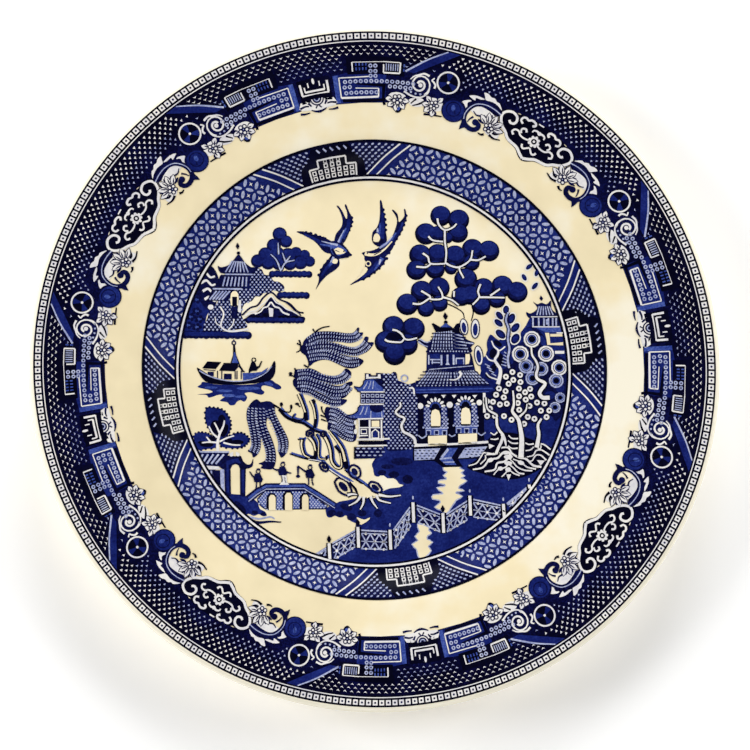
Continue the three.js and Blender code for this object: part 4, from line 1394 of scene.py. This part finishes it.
    for root in ([(-5.2, -47.2), (-6.6, -49.2), (-9.6, -50.8)], [(-3.9, -47.4), (-4.2, -50), (-5.3, -52.2)],
                 [(-1.4, -47.3), (-0.5, -49.5), (1.2, -51.8)], [(0.8, -46.8), (2, -48.7), (6.2, -49.8)],
                 [(1.6, -46.6), (5.6, -47.3), (10, -46.8)], [(-10, -46.8), (-8.2, -46.4), (-6.4, -46.6)]):
        lay("trunks", "black", 3, stroke(root, 2.2, 1))
        lay("trunks", "white", 4, stroke(root, 1, 0.4))
    lay("trunks", "cream", 4, smooth([(-6.6, -55.2), (-5.2, -55.6), (-3.6, -56), (-1.8, -55.2), (-2, -56),
                (-3.6, -57.2), (-5.4, -57.8)], cuts=3))


def walker(x, y, turn, arms):
    """A tiny figure on the bridge, no more than a few strokes."""
    lay("bridge", "navy", 4, contour(disc(x, y + 5, 0.75, steps=9), 0.4), disc(x + 0.1, y + 5.8, 0.75, 0.4),
        [(x - 1.2, y + 4.2), (x + 0.8, y + 4.2), (x + 1.8, y + 2), (x + 1.2, y + 0.9), (x - 1.4, y + 1),
            (x - 1.8, y + 2.4)], stroke([(x - 0.6, y + 1.3), (x - 0.9 + turn, y - 0.4),
                (x - 1 + turn, y - 1.6)], 0.5), stroke([(x + 0.7, y + 1.3), (x + 0.8, y - 0.4),
                (x + 1.2, y - 1.8)], 0.5))
    for arm in arms:
        lay("bridge", "navy", 4, stroke([(x + u, y + v) for u, v in arm], 0.9, 0.4))


def bridge():
    """The bridge on its three arches, with three small walkers."""
    deck = [(-47, -48.4), (-43.6, -45.6), (-40.4, -43.8), (-33, -43.7), (-26.2, -43.6), (-22, -46.2),
            (-14.8, -50.8)]
    wall = [(-43.6, -48.4), (-40.6, -45.4), (-26, -45.2), (-17.6, -51), (-18.2, -51.9), (-24.4, -51.9),
            (-27.4, -51.9), (-30.6, -52), (-34.4, -52.2), (-37, -52.2), (-40.2, -52.2), (-41.6, -51.4),
            (-43.2, -50)]
    lay("bridge", "navy", 1, contour(wall, 0.6))
    lay("bridge", "blue", 1, wall)
    lay("bridge", "pale", 2, *sprinkled(wall, 1.15, 0.4, 0.34))
    for x0, x1, top in ((-39.4, -36.9, -46.8), (-33.4, -30.7, -46), (-27, -24.6, -46.7)):
        arch = [(x0, -52.6), (x1, -52.6), (x1, top - 1), ((x0 + x1) / 2 + 0.6, top),
                ((x0 + x1) / 2 - 0.6, top), (x0, top - 1)]
        lay("bridge", "black", 3, [(x0 - 1, -52.1), (x1 + 0.3, -52.1), (x1 + 0.35, top - 0.6),
                (x1 - 0.5, top + 0.6), (x0 + 0.4, top + 0.8), (x0 - 0.8, top - 0.6)])
        lay("bridge", "cream", 4, arch)
    lay("bridge", "navy", 3, stroke(deck, 3, 2.4, soft=False))
    lay("bridge", "blue", 4, stroke([(x, y + 0.25) for x, y in deck], 0.9, 0.9, soft=False))
    lay("bridge", "pale", 4, stroke([(x, y - 0.85) for x, y in deck], 0.4, 0.3, soft=False))
    walker(-43.4, -43, 0.2, [[(-0.6, 2.8), (-1.8, 3), (-3.2, 5)]])
    walker(-34.2, -40.4, 0.7, [[(-0.5, 3.2), (-2.4, 3), (-4.6, 4.2)], [(0.6, 2.6), (2, 2), (3.2, 1.8)]])
    walker(-24, -41.4, 0.4, [[(-0.8, 3), (-2.6, 4), (-4.6, 5.6)], [(-4.5, 5.4), (-4.5, 3), (-4.5, 1.6)]])
    lay("bridge", "white", 4, [(-34.6, -39.4), (-32.8, -39.4), (-32.6, -42), (-31.8, -43), (-35.4, -43),
            (-34.7, -42)])
    lay("bridge", "navy", 3, disc(-28.5, -39.8, 0.8, 0.6))
    lay("bridge", "cobalt", 1, smooth([(-56.4, -46.6), (-52, -46.6), (-48.5, -47), (-46, -48.2),
                (-43.8, -49.4), (-42.8, -52), (-41, -53), (-40.2, -54.4), (-41.6, -54.8), (-43.2, -54),
                (-45, -54.7), (-47, -53.9), (-49, -54.6), (-52, -51.6), (-55.2, -48.2)], cuts=3))
    lay("bridge", "navy", 2, disc(-44.6, -53.4, 1.2, 0.8), disc(-41.6, -54, 1, 0.7), disc(-50, -51.4, 3, 1,
            -45), stroke([(-47.6, -56), (-43.6, -57.2), (-39, -56.8), (-34.8, -57)], 1.5, 0.4))
    lay("bridge", "pale", 2, stroke([(-47.4, -54.9), (-43.2, -55.8), (-39, -55), (-37.2, -55.8)], 0.9, 0.4))


def gatehouse():
    """The gate on the left, and the tree behind it."""
    m = "gatehouse"
    crowns = [smooth([(-62.8, -14.2), (-60, -14), (-57, -14.6), (-55, -16.4), (-53.7, -19), (-53.7, -22),
                      (-55, -24.6), (-57.4, -26.2), (-60, -24.6), (-62.2, -21.4), (-63.2, -18)]),
              smooth([(-67.4, -25), (-65.6, -23.4), (-63, -23.6), (-61, -24.5), (-58.6, -26.5), (-59, -29),
                      (-63, -29.6), (-66, -29.8)]), smooth([(-57, -26.2), (-54, -24.5), (-51, -23.4),
                      (-48.5, -23.9), (-46.7, -25.8), (-47.6, -27.6), (-49.5, -29), (-53, -29.3),
                      (-57.2, -28.6)])]
    for crown in crowns:
        lay(m, "cobalt", 1, crown)
        lay(m, "navy", 1, *[disc(x, y, 0.5, steps=6) for x, y in crown[::2]])
    lay(m, "black", 2, disc(-58.8, -21.8, 2.2, 3.2, 20), disc(-56, -22.6, 1.3, 2.6, -20),
        disc(-60.6, -25.8, 1.6, 1), disc(-62.6, -28, 2.6, 0.9), disc(-51.4, -27, 2.6, 0.9),
        disc(-54.6, -26.6, 1.6, 0.8, 20), disc(-64.6, -27.2, 1.3, 0.6), disc(-57, -18.6, 1.4, 2))
    for vein in ([(-58.5, -30.4), (-58.5, -27), (-57.8, -24), (-56.4, -21), (-56, -18.8)],
                 [(-57.8, -23.6), (-58.8, -21.4), (-59.8, -19.6)], [(-58.7, -25.2), (-60.4, -23.6),
                     (-61.8, -21)], [(-58.4, -27.2), (-61.5, -27), (-64.4, -27.3)],
                 [(-61.3, -26.8), (-62.7, -25)], [(-57.8, -26.8), (-55, -25.4), (-52.4, -24.6)],
                 [(-56.4, -27.2), (-53, -28), (-50, -28.1)]):
        lay(m, "white", 3, stroke(vein, 1.2 if len(vein) > 4 else 0.7, 0.5))
    lay(m, "navy", 1, [(-66.6, -30.4), (-54.2, -30.4), (-54.4, -31.4), (-57, -35.8), (-60, -38), (-60.4, -41),
            (-62, -39.4), (-64.8, -34.4)])
    lay(m, "pale", 2, stroke([(-66.4, -30.7), (-54.2, -30.7)], 0.6), *hatched((-65, -31.6), (-55.2, -31.6),
            (-58.4, -35.2), (-66.6, -35.2), 5, 0.7))
    arch = smooth([(-55.4, -32), (-52.2, -32.3), (-49.9, -32.2), (-49, -34.2), (-47.4, -35.4), (-46, -35),
                      (-45.3, -33.2), (-45.4, -35.8), (-46.8, -36.8), (-48, -37)], False, 3)
    gate = arch + [(-48.2, -47.4), (-50.1, -47.4), (-50.2, -37), (-50.7, -35.7), (-51.9, -35.2), (-53, -35.7),
                   (-53.7, -37), (-53.5, -47.4), (-55.7, -47.4), (-56, -37.6), (-57.6, -36.6), (-57.4, -34)]
    lay(m, "navy", 2, gate)
    lay(m, "cobalt", 3, [(-55.2, -34), (-51, -33), (-49.8, -35), (-52, -34.6), (-54.4, -35.6), (-54.2, -46),
            (-55.2, -46)], [(-48.6, -37.4), (-49.6, -37.4), (-49.4, -46), (-48.6, -46)])
    lay(m, "white", 3, disc(-53.4, -31.7, 0.75), disc(-51, -31.6, 0.75), disc(-53, -31, 0.4),
        disc(-51.4, -31, 0.4), [(-58, -36.2), (-63.2, -35.9), (-62, -37.4), (-57.6, -37.3)])
    lay(m, "pale", 3, [(-57.6, -37.2), (-56.1, -37.2), (-55.9, -46.6), (-57, -45.6), (-57.4, -43)],
        [(-61.2, -37.8), (-60.6, -37.8), (-60.5, -41), (-61.1, -40)])
    lay(m, "navy", 2, [(-60.2, -37.6), (-57.5, -37.6), (-57.4, -43.4), (-60, -41.6)],
        [(-63, -37.2), (-61.2, -37.2), (-61.4, -40)])


def boat():
    """The covered boat, with its boatman and its shadow on the water."""
    water = smooth([(-64, -4.2), (-60, -5.1), (-54, -5.3), (-46, -5.1), (-41, -4), (-38.5, -3.4), (-37, -4.4),
                       (-35, -5.6), (-34.8, -6.6), (-36.5, -7), (-38.5, -6), (-41.5, -5.5), (-42.2, -6.8),
                       (-41, -8), (-42, -9), (-44, -8.7), (-46, -8.1), (-48.4, -8.5), (-47.5, -10),
                       (-48.5, -11.7), (-50, -11.1), (-51.4, -11.8), (-52.2, -12.9), (-54, -13), (-55, -11.9),
                       (-57.7, -11.4), (-56, -10), (-55, -9.2), (-58, -9.1), (-60.5, -9.9), (-62, -10.2),
                       (-62.8, -9.2), (-66.2, -9), (-62, -8.6), (-60.4, -8), (-62, -7.2), (-66, -6.3),
                       (-64.8, -5.2)], cuts=3)
    lay("boat", "cobalt", 0, water)
    lay("boat", "blue", 1, disc(-47, -6.6, 4.4, 0.7), disc(-56, -7.6, 3, 0.5), disc(-54.4, -9.4, 2.6, 0.6),
        disc(-39.4, -4.8, 1.8, 0.6, -20), disc(-50, -9.8, 2, 0.5), disc(-61, -6.4, 2.4, 0.5))
    hull = smooth([(-66.3, 1.1), (-64.8, 0.3), (-62, -1.4), (-58, -3), (-54, -3.8), (-50, -3.8), (-46, -3),
                      (-42, -1.2), (-39, 1), (-37.3, 3.9), (-36.8, 2), (-37.2, -1.2), (-38.7, -3.3),
                      (-41, -4.2), (-47, -4.9), (-54, -5.3), (-60, -5), (-63, -4.2), (-65.3, -1.5)], cuts=3)
    lay("boat", "black", 2, hull)
    lay("boat", "blue", 2, [(-49.2, -0.8), (-45, -0.7), (-42, -0.3), (-39.6, 1.4), (-40.5, -0.4), (-44, -2.5),
            (-49, -3.6)])
    lay("boat", "pale", 3, stroke([(-65.4, 0), (-62, -1.9), (-58, -3.2), (-53, -3.95), (-48, -3.7),
                (-44, -2.7), (-40.5, -0.7), (-38.2, 1.8)], 0.45, 0.3))
    lay("boat", "black", 2, [(-62.4, 3.5), (-57.2, 3.3), (-59.3, 0.6), (-64.3, 0.9)],
        [(-56.2, 3), (-51.2, 2.9), (-50.8, 1.8), (-52.3, -0.2), (-58, 0)], [(-52.8, 10), (-52.1, 10),
            (-51.6, 6), (-50, 2), (-48.4, -0.5), (-49.4, -0.4), (-50.8, 2.4), (-53.8, 2.9), (-52.8, 6)])
    lay("boat", "blue", 3, [(-52.5, 7), (-52, 7), (-51.2, 4), (-50.6, 2.9), (-53.2, 3), (-52.7, 5)])
    lay("boat", "navy", 2, box(-62.3, -2, -60, -0.4), box(-56.2, -3.3, -53.3, -1.1),
        *[box(x, -3.2, x + 0.4, 0) for x in (-58.8, -57.2, -52.2, -51.5, -49.9)],
        stroke([(-63.8, 0.4), (-59.4, 0)], 0.3), stroke([(-52.2, 0), (-50.7, 1.7), (-48.4, -0.5)], 0.35,
            soft=False), contour(disc(-52.5, 10.6, 0.7, steps=10), 0.5), disc(-52.5, 11.6, 0.35, steps=6))
    lay("boat", "black", 3, [(-45.8, 3.6), (-44.5, 3.2), (-44, 1.8), (-43.2, 1.2), (-44, 0), (-45.5, 0),
            (-46.5, -0.5), (-46.9, -1.5), (-46.9, 0.5), (-46.2, 2.5)], contour(disc(-45, 4.2, 0.75, steps=9),
            0.35), stroke([(-44, 1.4), (-43, 1.6), (-42, 3.8)], 0.9, 0.4))


def temple_isle():
    """The island with its temple, rocks and spotted hill."""
    m = "isle"
    sea = rounds((170.4, 73.2), (167, 73.2), (163, 73.2), (159, 73), (155.4, 72.6)) + [(-64, 33), (-60, 35),
                 (-57, 32), (-60, 26), (-62.6, 21), (-64, 15), (-64, 12.4)]
    lay(m, "cobalt", 0, sea)
    for x, y in ((-66.4, 22.6), (-68.6, 20.4), (-65.4, 19.6), (-69.6, 17.2), (-66.4, 16.6), (-63.4, 33.6),
                 (-66.4, 27)):
        lay(m, "navy", 1, *[disc(x + 1.3 * math.cos(a), y + 0.9 * math.sin(a), 0.7, steps=7)
                for a in (0, 1.3, 2.5, 3.8, 5)])
        lay(m, "blue", 1, disc(x, y, 0.9, 0.6, steps=8))
    lay(m, "navy", 2, *tufts(-70.6, -47.2, 13.5, 1.5), box(-70.6, 13.4, -47.2, 15))
    lay(m, "cobalt", 3, *tufts(-70.2, -47.6, 13.9, 0.85))
    lay(m, "navy", 3, *tufts(-47, -27, 19.3, 1.2))
    lay(m, "cobalt", 4, *tufts(-46.8, -27.2, 19.6, 0.65))
    hill = smooth([(-64, 15), (-62.4, 20), (-61.6, 23), (-58.8, 25.4), (-58, 29), (-55.6, 31), (-51, 31),
                      (-47.6, 38.6), (-45.4, 39.6), (-43.6, 39.4), (-41.9, 38.6), (-41, 36.8), (-38.8, 36.4),
                      (-37.6, 34.4), (-35.4, 34), (-33.6, 32.4), (-33.8, 31), (-35.6, 30.2), (-37.4, 31),
                      (-39.2, 29.6), (-41, 30), (-42.6, 28.4), (-44.4, 28.4), (-45.8, 26.6), (-48.6, 25.4),
                      (-49.6, 21), (-47.4, 17), (-49.6, 16), (-56, 15.2)], cuts=3)
    lay(m, "navy", 1, hill)
    lay(m, "pale", 2, *sprinkled(hill, 1.55, 0.4))
    lay(m, "white", 4, stroke([(-57.6, 24.4), (-56.3, 21.5), (-57.4, 17.4), (-56, 15.6), (-53.6, 15),
                (-50, 15.3), (-47, 15.9)], 0.6, 0.7), stroke([(-52.4, 19.6), (-53, 17.4), (-54.6, 15.6)],
            0.35, 0.5), stroke([(-59.6, 20.4), (-59, 18), (-57.4, 17)], 0.3, 0.4))
    rocks = smooth([(-66, 38), (-63, 40), (-60, 39), (-58, 34), (-58.6, 28), (-60, 23.4), (-62.4, 23.2),
                       (-65.6, 27), (-67, 31)], cuts=3)
    lay(m, "navy", 2, rocks)
    lay(m, "white", 3, *[stroke([(-65.6 + 0.7 * k, 36.4 - 3.1 * k), (-63.4 + 0.6 * k, 37.4 - 3.1 * k),
                    (-61.4 + 0.5 * k, 35.6 - 3 * k), (-59.6 + 0.2 * k, 36 - 3 * k)], 1, 0.7)
            for k in range(4)], disc(-61.2, 24.2, 1.1, 1))
    peak = smooth([(-49, 19.3), (-47.6, 20.4), (-46, 21.5), (-43.5, 22.6), (-40.5, 25.6), (-38.5, 28.6),
                      (-36.5, 26.6), (-33, 24.1), (-30, 22.4), (-27.8, 21), (-26, 20.7), (-25.7, 19.6),
                      (-27, 18.7), (-34, 18.4), (-41, 18.3), (-46.6, 18.5)], cuts=3)
    lay(m, "navy", 2, peak, stroke([(-49.4, 21.2), (-46.4, 24), (-43.6, 25), (-41.4, 28), (-38.4, 30),
                (-35.4, 27.4), (-31.6, 25.8), (-28.6, 22.8), (-26.2, 22.2)], 0.65))
    lay(m, "black", 3, disc(-44.6, 20.6, 2, 0.7), disc(-40.4, 21.4, 1.4, 0.8), disc(-33.6, 20.6, 2.4, 0.7),
        disc(-29.4, 20.6, 1.6, 0.5))
    lay(m, "white", 3, stroke([(-48.4, 20.8), (-46.2, 22.6), (-44, 23), (-42.2, 25.2), (-40.8, 26),
                (-38.5, 28.4), (-36.6, 26.2), (-34.6, 25.2), (-32.6, 23.6), (-30.4, 22.8), (-28, 21.4)], 0.55,
            0.4))
    lay(m, "white", 4, stroke([(-44.6, 21.6), (-42.4, 22.6), (-41.4, 24), (-39.8, 24.6), (-38.5, 26.2),
                (-37.2, 24.6), (-35.4, 24), (-34, 22.4), (-31.6, 21.4)], 0.5, 0.7),
        [(-39.5, 24.2), (-39.1, 20.7), (-37.8, 20.7), (-37.5, 23.8)],
        stroke([(-48, 20.9), (-46, 21.9), (-43.8, 22)], 0.3, 0.6))
    lay(m, "navy", 4, [(-37.7, 24), (-36.9, 23.6), (-37.2, 21), (-37.6, 21)],
        stroke([(-33.4, 26.6), (-31, 24.6), (-29.8, 23.3), (-28.2, 22.3), (-27.2, 21)], 0.35))
    # The temple's bell roof, its two storeys and its porch.
    lay(m, "black", 4, [(-51.2, 49), (-50.4, 47.6), (-51, 46.2), (-51.8, 47.6)],
        disc(-50.8, 45, 0.65, steps=8))
    bell = smooth([(-50.8, 44.4), (-49.4, 43), (-48, 41), (-45, 39), (-44.2, 39.6), (-44.8, 37.6), (-47, 37),
                      (-56, 37), (-58, 38), (-58.5, 40), (-57.4, 39.4), (-54.4, 40.4), (-52.4, 42.6)], cuts=3)
    lay(m, "navy", 4, bell, [(-57.4, 36.6), (-46.2, 36.6), (-46.6, 31.6), (-60, 31.4)],
        [(-60.6, 31), (-52, 31), (-54.8, 26.6), (-62.6, 26.6)], box(-53.4, 20, -51.1, 28))
    lay(m, "pale", 5, *hatched((-53.4, 42), (-48.4, 41.6), (-46.4, 37.6), (-56.4, 37.6), 7, 0.5),
        stroke([(-55.8, 36.8), (-45.4, 36.8)], 0.5), *hatched((-56.4, 35.8), (-47, 35.8), (-47.2, 32.2),
            (-57.4, 32.2), 7, 0.55), stroke([(-60.4, 31.2), (-49.6, 31.2)], 0.6), *hatched((-59.6, 30.4),
            (-53.4, 30.4), (-56.4, 27), (-62.2, 27), 5, 0.6))
    lay(m, "cream", 5, smooth([(-53.6, 25), (-50.9, 25), (-50.8, 29), (-52, 30.4), (-53.6, 29.4)], cuts=2))
    lay(m, "white", 5, box(-50.9, 22.4, -49.8, 27))
    lay(m, "black", 6, box(-53.1, 24.6, -51.3, 28.2))


def pine_isle():
    """The low shore with its cloud-shaped pine, above the island."""
    m = "pine"
    for x, y, r in ((-35.2, 52.4, 2.6), (-32.8, 49.6, 2.3), (-37.4, 48, 2.6), (-43.5, 42, 2.5),
                    (-40.6, 44.6, 2.6), (-29, 45.4, 2.1), (-25.8, 44.4, 2), (-23.9, 42, 2),
                    (-36.4, 44.4, 3.2), (-32, 44, 3), (-39.6, 41.4, 2.6), (-27.4, 41.6, 2.6),
                    (-31.4, 41, 2.4), (-35.6, 41, 2.4)):
        lay(m, "navy", 1, disc(x, y, r * 1.04))
        lay(m, "cobalt", 2, disc(x + 0.1, y + 0.3, r * 0.84, r * 0.76))
    for branch in ([(-34.8, 38.2), (-36.4, 42.3), (-38.6, 44.6)], [(-35.6, 44.6), (-35.8, 49)],
                   [(-32.9, 41.5), (-34.2, 45.2)], [(-33, 41.6), (-31.2, 44)], [(-34.6, 38.6), (-33, 41.4),
                       (-29.6, 42.4)]):
        lay(m, "black", 3, stroke(branch, 1.3, 1))
        lay(m, "pale", 4, stroke(branch, 0.6, 0.4))
    for x0, x1, y in ((-38, -24.2, 37), (-35, -25.2, 28.9)):
        lay(m, "navy", 1, *tufts(x0, x1, y, 1.35), box(x0, y - 0.6, x1, y + 1.2))
        lay(m, "cobalt", 2, *tufts(x0 + 0.2, x1 - 0.2, y + 0.3, 0.8))


def swallows():
    """The two swallows that fly towards each other."""
    m = "swallows"
    left_wing = smooth([(-28.8, 53.3), (-26.4, 53.6), (-25, 53.1), (-23.9, 53.2), (-22.6, 52.4),
                           (-21.2, 52.3), (-19.8, 51.5), (-18.6, 51.6), (-17.4, 50.8), (-15.6, 49.8),
                           (-13, 47.6), (-14.6, 45.2), (-18.2, 45.6), (-21, 48.8), (-24, 51.2)], cuts=3)
    upper = smooth([(-13.6, 63.5), (-12.8, 63.4), (-11.4, 61.4), (-10.4, 59.2), (-9.7, 58.6), (-9.6, 61),
                       (-10.5, 63.6), (-9.9, 64), (-8.8, 61.2), (-7.7, 59), (-7.8, 56.6), (-9, 53),
                       (-10.4, 50), (-12.4, 48), (-14.4, 49), (-14, 52.4), (-11.8, 55.4), (-11.4, 58.4),
                       (-12.4, 61.6)], cuts=3)
    body = smooth([(-16, 49.8), (-12.4, 49.6), (-9.8, 47.2), (-8.8, 45.6), (-7.8, 44.6), (-9.4, 43.8),
                      (-12, 43.2), (-14.6, 43), (-16, 45), (-16.6, 47.4)], cuts=3)
    lower_wing = smooth([(-15.2, 44.8), (-17, 42.6), (-18.8, 40.5), (-20.3, 37), (-20.5, 34.5), (-21.6, 31.2),
                            (-19.9, 33.8), (-17.4, 36.6), (-14, 39), (-12.6, 40.9), (-13, 43.4)], cuts=3)
    right_body = smooth([(-4.1, 45.4), (-2.4, 46), (0.4, 46.6), (4, 48.6), (7, 51.4), (8.4, 54), (9.4, 58),
                            (8.4, 60.6), (7.5, 62), (8, 62.2), (9.6, 60.4), (10, 57.6), (11.2, 58.4),
                            (12.2, 60), (12, 62.3), (12.6, 62.3), (13, 59.4), (12.4, 57.4), (11, 53.6),
                            (9, 50.4), (7.4, 47), (4.6, 43.8), (1.6, 42.4), (-1.4, 41.8), (-3, 42.6),
                            (-3.2, 44.2)], cuts=3)
    right_upper = smooth([(0, 49.6), (0, 53.4), (1.6, 55.2), (2.6, 58), (2.9, 62), (2.9, 65.6), (3.5, 65.6),
                             (4.2, 62), (4.9, 58), (5, 54), (5.4, 50.4), (3, 47.8)], cuts=3)
    right_lower = smooth([(4.6, 44.2), (4.6, 42), (2, 38.9), (-2, 36), (-5, 34.6), (-8.8, 33), (-5.6, 35.6),
                             (-3.2, 39), (-2.6, 42), (0, 43.6)], cuts=3)
    lay(m, "navy", 1, left_wing, upper, body, lower_wing, right_body, right_upper, right_lower)
    feathers = [(-25.2, 53.1), (-23.4, 52.8), (-21.6, 52.2), (-19.9, 51.5), (-18, 50.8), (-7.9, 59),
                (-7.8, 57.4), (-8.2, 55.8), (-8.9, 54.2), (-9.9, 52.4), (-10.7, 50.6), (-20.4, 36.8),
                (-19.5, 38.8), (-18.2, 40.6), (-17, 42.2), (4.1, 62.2), (4.5, 60.4), (4.8, 58.4), (5, 56.4),
                (5, 54.4), (12.8, 60), (12.5, 58.2), (11.9, 56.4), (11.1, 54.6), (10.2, 52.8), (9.1, 51),
                (8, 49), (6.2, 45.6), (5.3, 43.4), (4, 41.4), (2.4, 39.6), (0.6, 38), (-1.4, 36.6),
                (-3.6, 35.4)]
    lay(m, "navy", 1, *[disc(x, y, 0.62, steps=8) for x, y in feathers])
    lay(m, "cobalt", 2, stroke([(-26, 52.5), (-22, 50.6), (-17.6, 48)], 0.8, 1.8),
        stroke([(-8.9, 58.4), (-9.4, 55), (-11.6, 51)], 1.1, 2),
        stroke([(-19.4, 36.4), (-17, 40), (-14.6, 42.4)], 0.8, 1.8), stroke([(3.8, 61), (3.9, 56), (3.2, 51)],
            0.7, 2.2), stroke([(-4.6, 35.6), (-0.6, 38.6), (2.4, 42)], 0.7, 2.2),
        stroke([(11.6, 57.4), (9.8, 53.4), (6.6, 49.6)], 0.7, 1.5))
    lay(m, "blue", 3, stroke([(-20, 48.6), (-17, 48.2), (-14.6, 47.8)], 0.4, 1.2),
        stroke([(-10, 55), (-11.6, 52), (-12.8, 49.4)], 0.5, 1.4), stroke([(-16.6, 40.2), (-15.2, 42.2)], 0.6,
            1.6), stroke([(2.9, 57), (2.6, 54), (1.6, 51.8)], 0.5, 1.6),
        stroke([(0.6, 38.8), (2.4, 41.4), (3.6, 43.6)], 0.5, 1.6), stroke([(9, 53.4), (6.8, 50.4), (3.6, 48)],
            0.5, 1.3), smooth([(-16, 48.6), (-13.4, 49), (-11, 47.4), (-9.6, 45.9), (-12.6, 44.2),
                (-15.4, 45)], cuts=2))
    lay(m, "pale", 4, stroke([(-19.4, 49.8), (-15.8, 48.9), (-13.2, 48.4)], 0.3, 0.9),
        stroke([(-10.8, 54.2), (-12.2, 51.4), (-13, 49.4)], 0.3, 0.8), stroke([(-16, 41.6), (-14.8, 43.8)],
            0.4, 0.9), stroke([(1.9, 55), (1.9, 53.4)], 0.5, 0.8), stroke([(2.4, 41), (3, 43)], 0.4, 0.9),
        stroke([(7.6, 52), (5.4, 49.4), (2.6, 47.4)], 0.3, 0.8))
    lay(m, "cream", 4, smooth([(-15.4, 41.6), (-13.8, 41.2), (-13.2, 42.6), (-14.6, 43.2)], cuts=2),
        smooth([(-14.8, 46.4), (-13.2, 47.4), (-11.4, 46.8), (-10.3, 45.6), (-12.2, 44.8), (-14.4, 45)],
            cuts=2), smooth([(0.3, 50), (0.6, 52.4), (1.9, 53), (2.9, 51.4), (2.2, 49.8)], cuts=2),
        stroke([(-3, 45.2), (-1, 44.7), (1.6, 45), (4.4, 46.8), (7.4, 50)], 1.4, 0.4),
        contour(disc(-1.7, 41.3, 0.9, steps=10), 0.4), smooth([(-2.9, 40), (-1.9, 39), (-3.6, 36.9),
                (-6.6, 34.7), (-4.8, 37)], cuts=2))
    lay(m, "navy", 5, stroke([(-15.4, 47), (-13.4, 43.9), (-9.2, 43.8)], 1, 0.5),
        disc(-10.9, 46, 0.35, steps=6), stroke([(-14.2, 46.4), (-12.6, 45.7)], 0.35, 0.2),
        stroke([(0.4, 44.6), (3.4, 46.2)], 0.35, 0.2), disc(-2, 45.3, 0.28, steps=6))


water_and_land()
fence()
pagoda()
garden_house()
spotted_bush()
round_tree()
long_leaves()
orchard()
rockery()
far_house()
willow()
bridge()
gatehouse()
boat()
temple_isle()
pine_isle()
swallows()

press_tissues()


# ---------------------------------------------------------------- the studio

def studio():
    """A pale floor, soft light from large lamps, and the camera above the plate."""
    bpy.ops.mesh.primitive_plane_add(size=6, location=(0, 0, -0.0002))
    floor = bpy.context.object
    floor.name = "studio_floor"
    pale = bpy.data.materials.new("white_paper_sweep")
    pale.use_nodes = True
    shader = pale.node_tree.nodes["Principled BSDF"]
    shader.inputs["Base Color"].default_value = linear("#FFFFFF")
    shader.inputs["Roughness"].default_value = 0.9
    # The paper is lit from below as well, as a product table is, so the plate's shadow stays faint.
    shader.inputs["Emission Color"].default_value = linear("#FFFFFF")
    shader.inputs["Emission Strength"].default_value = 0.12
    floor.data.materials.append(pale)

    # A tent of white cloth: bright round the horizon and dark overhead, so nothing above glares in the glaze.
    world = bpy.data.worlds.new("cloth_tent")
    bpy.context.scene.world = world
    world.use_nodes = True
    tree = world.node_tree
    place = add(tree, "ShaderNodeTexCoord")
    height = add(tree, "ShaderNodeSeparateXYZ", Vector=place.outputs["Generated"])
    cloth = add(tree, "ShaderNodeValToRGB", Fac=height.outputs["Z"])
    cloth.color_ramp.elements[0].position = 0.3
    cloth.color_ramp.elements[0].color = linear("#FFFFFF")
    cloth.color_ramp.elements[1].position = 0.62
    cloth.color_ramp.elements[1].color = linear("#2C2C2C")
    tree.links.new(cloth.outputs["Color"], tree.nodes["Background"].inputs["Color"])
    tree.nodes["Background"].inputs["Strength"].default_value = 0.65

    for name, place, power in (
        ("left_softbox", (-1.25, 0.1, 0.72), 15),
        ("right_softbox", (1.25, 0.3, 0.72), 10.5),
        ("back_softbox", (0.1, 1.3, 0.72), 12),
        ("front_softbox", (0.2, -1.25, 0.66), 4.5),
    ):
        lamp = bpy.data.lights.new(name, "AREA")
        lamp.size = 0.6
        lamp.energy = power
        holder = bpy.data.objects.new(name, lamp)
        bpy.context.collection.objects.link(holder)
        holder.location = place
        # The tent gives the reflections; lamps this small would leave hard spots on the verge.
        holder.visible_glossy = name == "front_softbox"
        holder.rotation_euler = (-Vector(place)).to_track_quat("-Z", "Y").to_euler()

    lens = bpy.data.cameras.new("camera")
    camera = bpy.data.objects.new("camera", lens)
    bpy.context.collection.objects.link(camera)
    bpy.context.scene.camera = camera
    aim = Vector((-0.0001, -0.0027, 0.013))
    distance = 1.2
    lean, side = math.radians(80), math.radians(25.5)
    away = Vector((-math.sin(side) * math.cos(lean), -math.cos(side) * math.cos(lean), math.sin(lean)))
    camera.location = aim + away * distance
    back = away.normalized()
    right = Vector((0, 1, 0)).cross(back).normalized()
    up = back.cross(right)
    camera.rotation_euler = Matrix((right, up, back)).transposed().to_euler()
    lens.lens = 152.6
    lens.sensor_width = 36
    bpy.context.scene.view_settings.view_transform = "Standard"


studio()
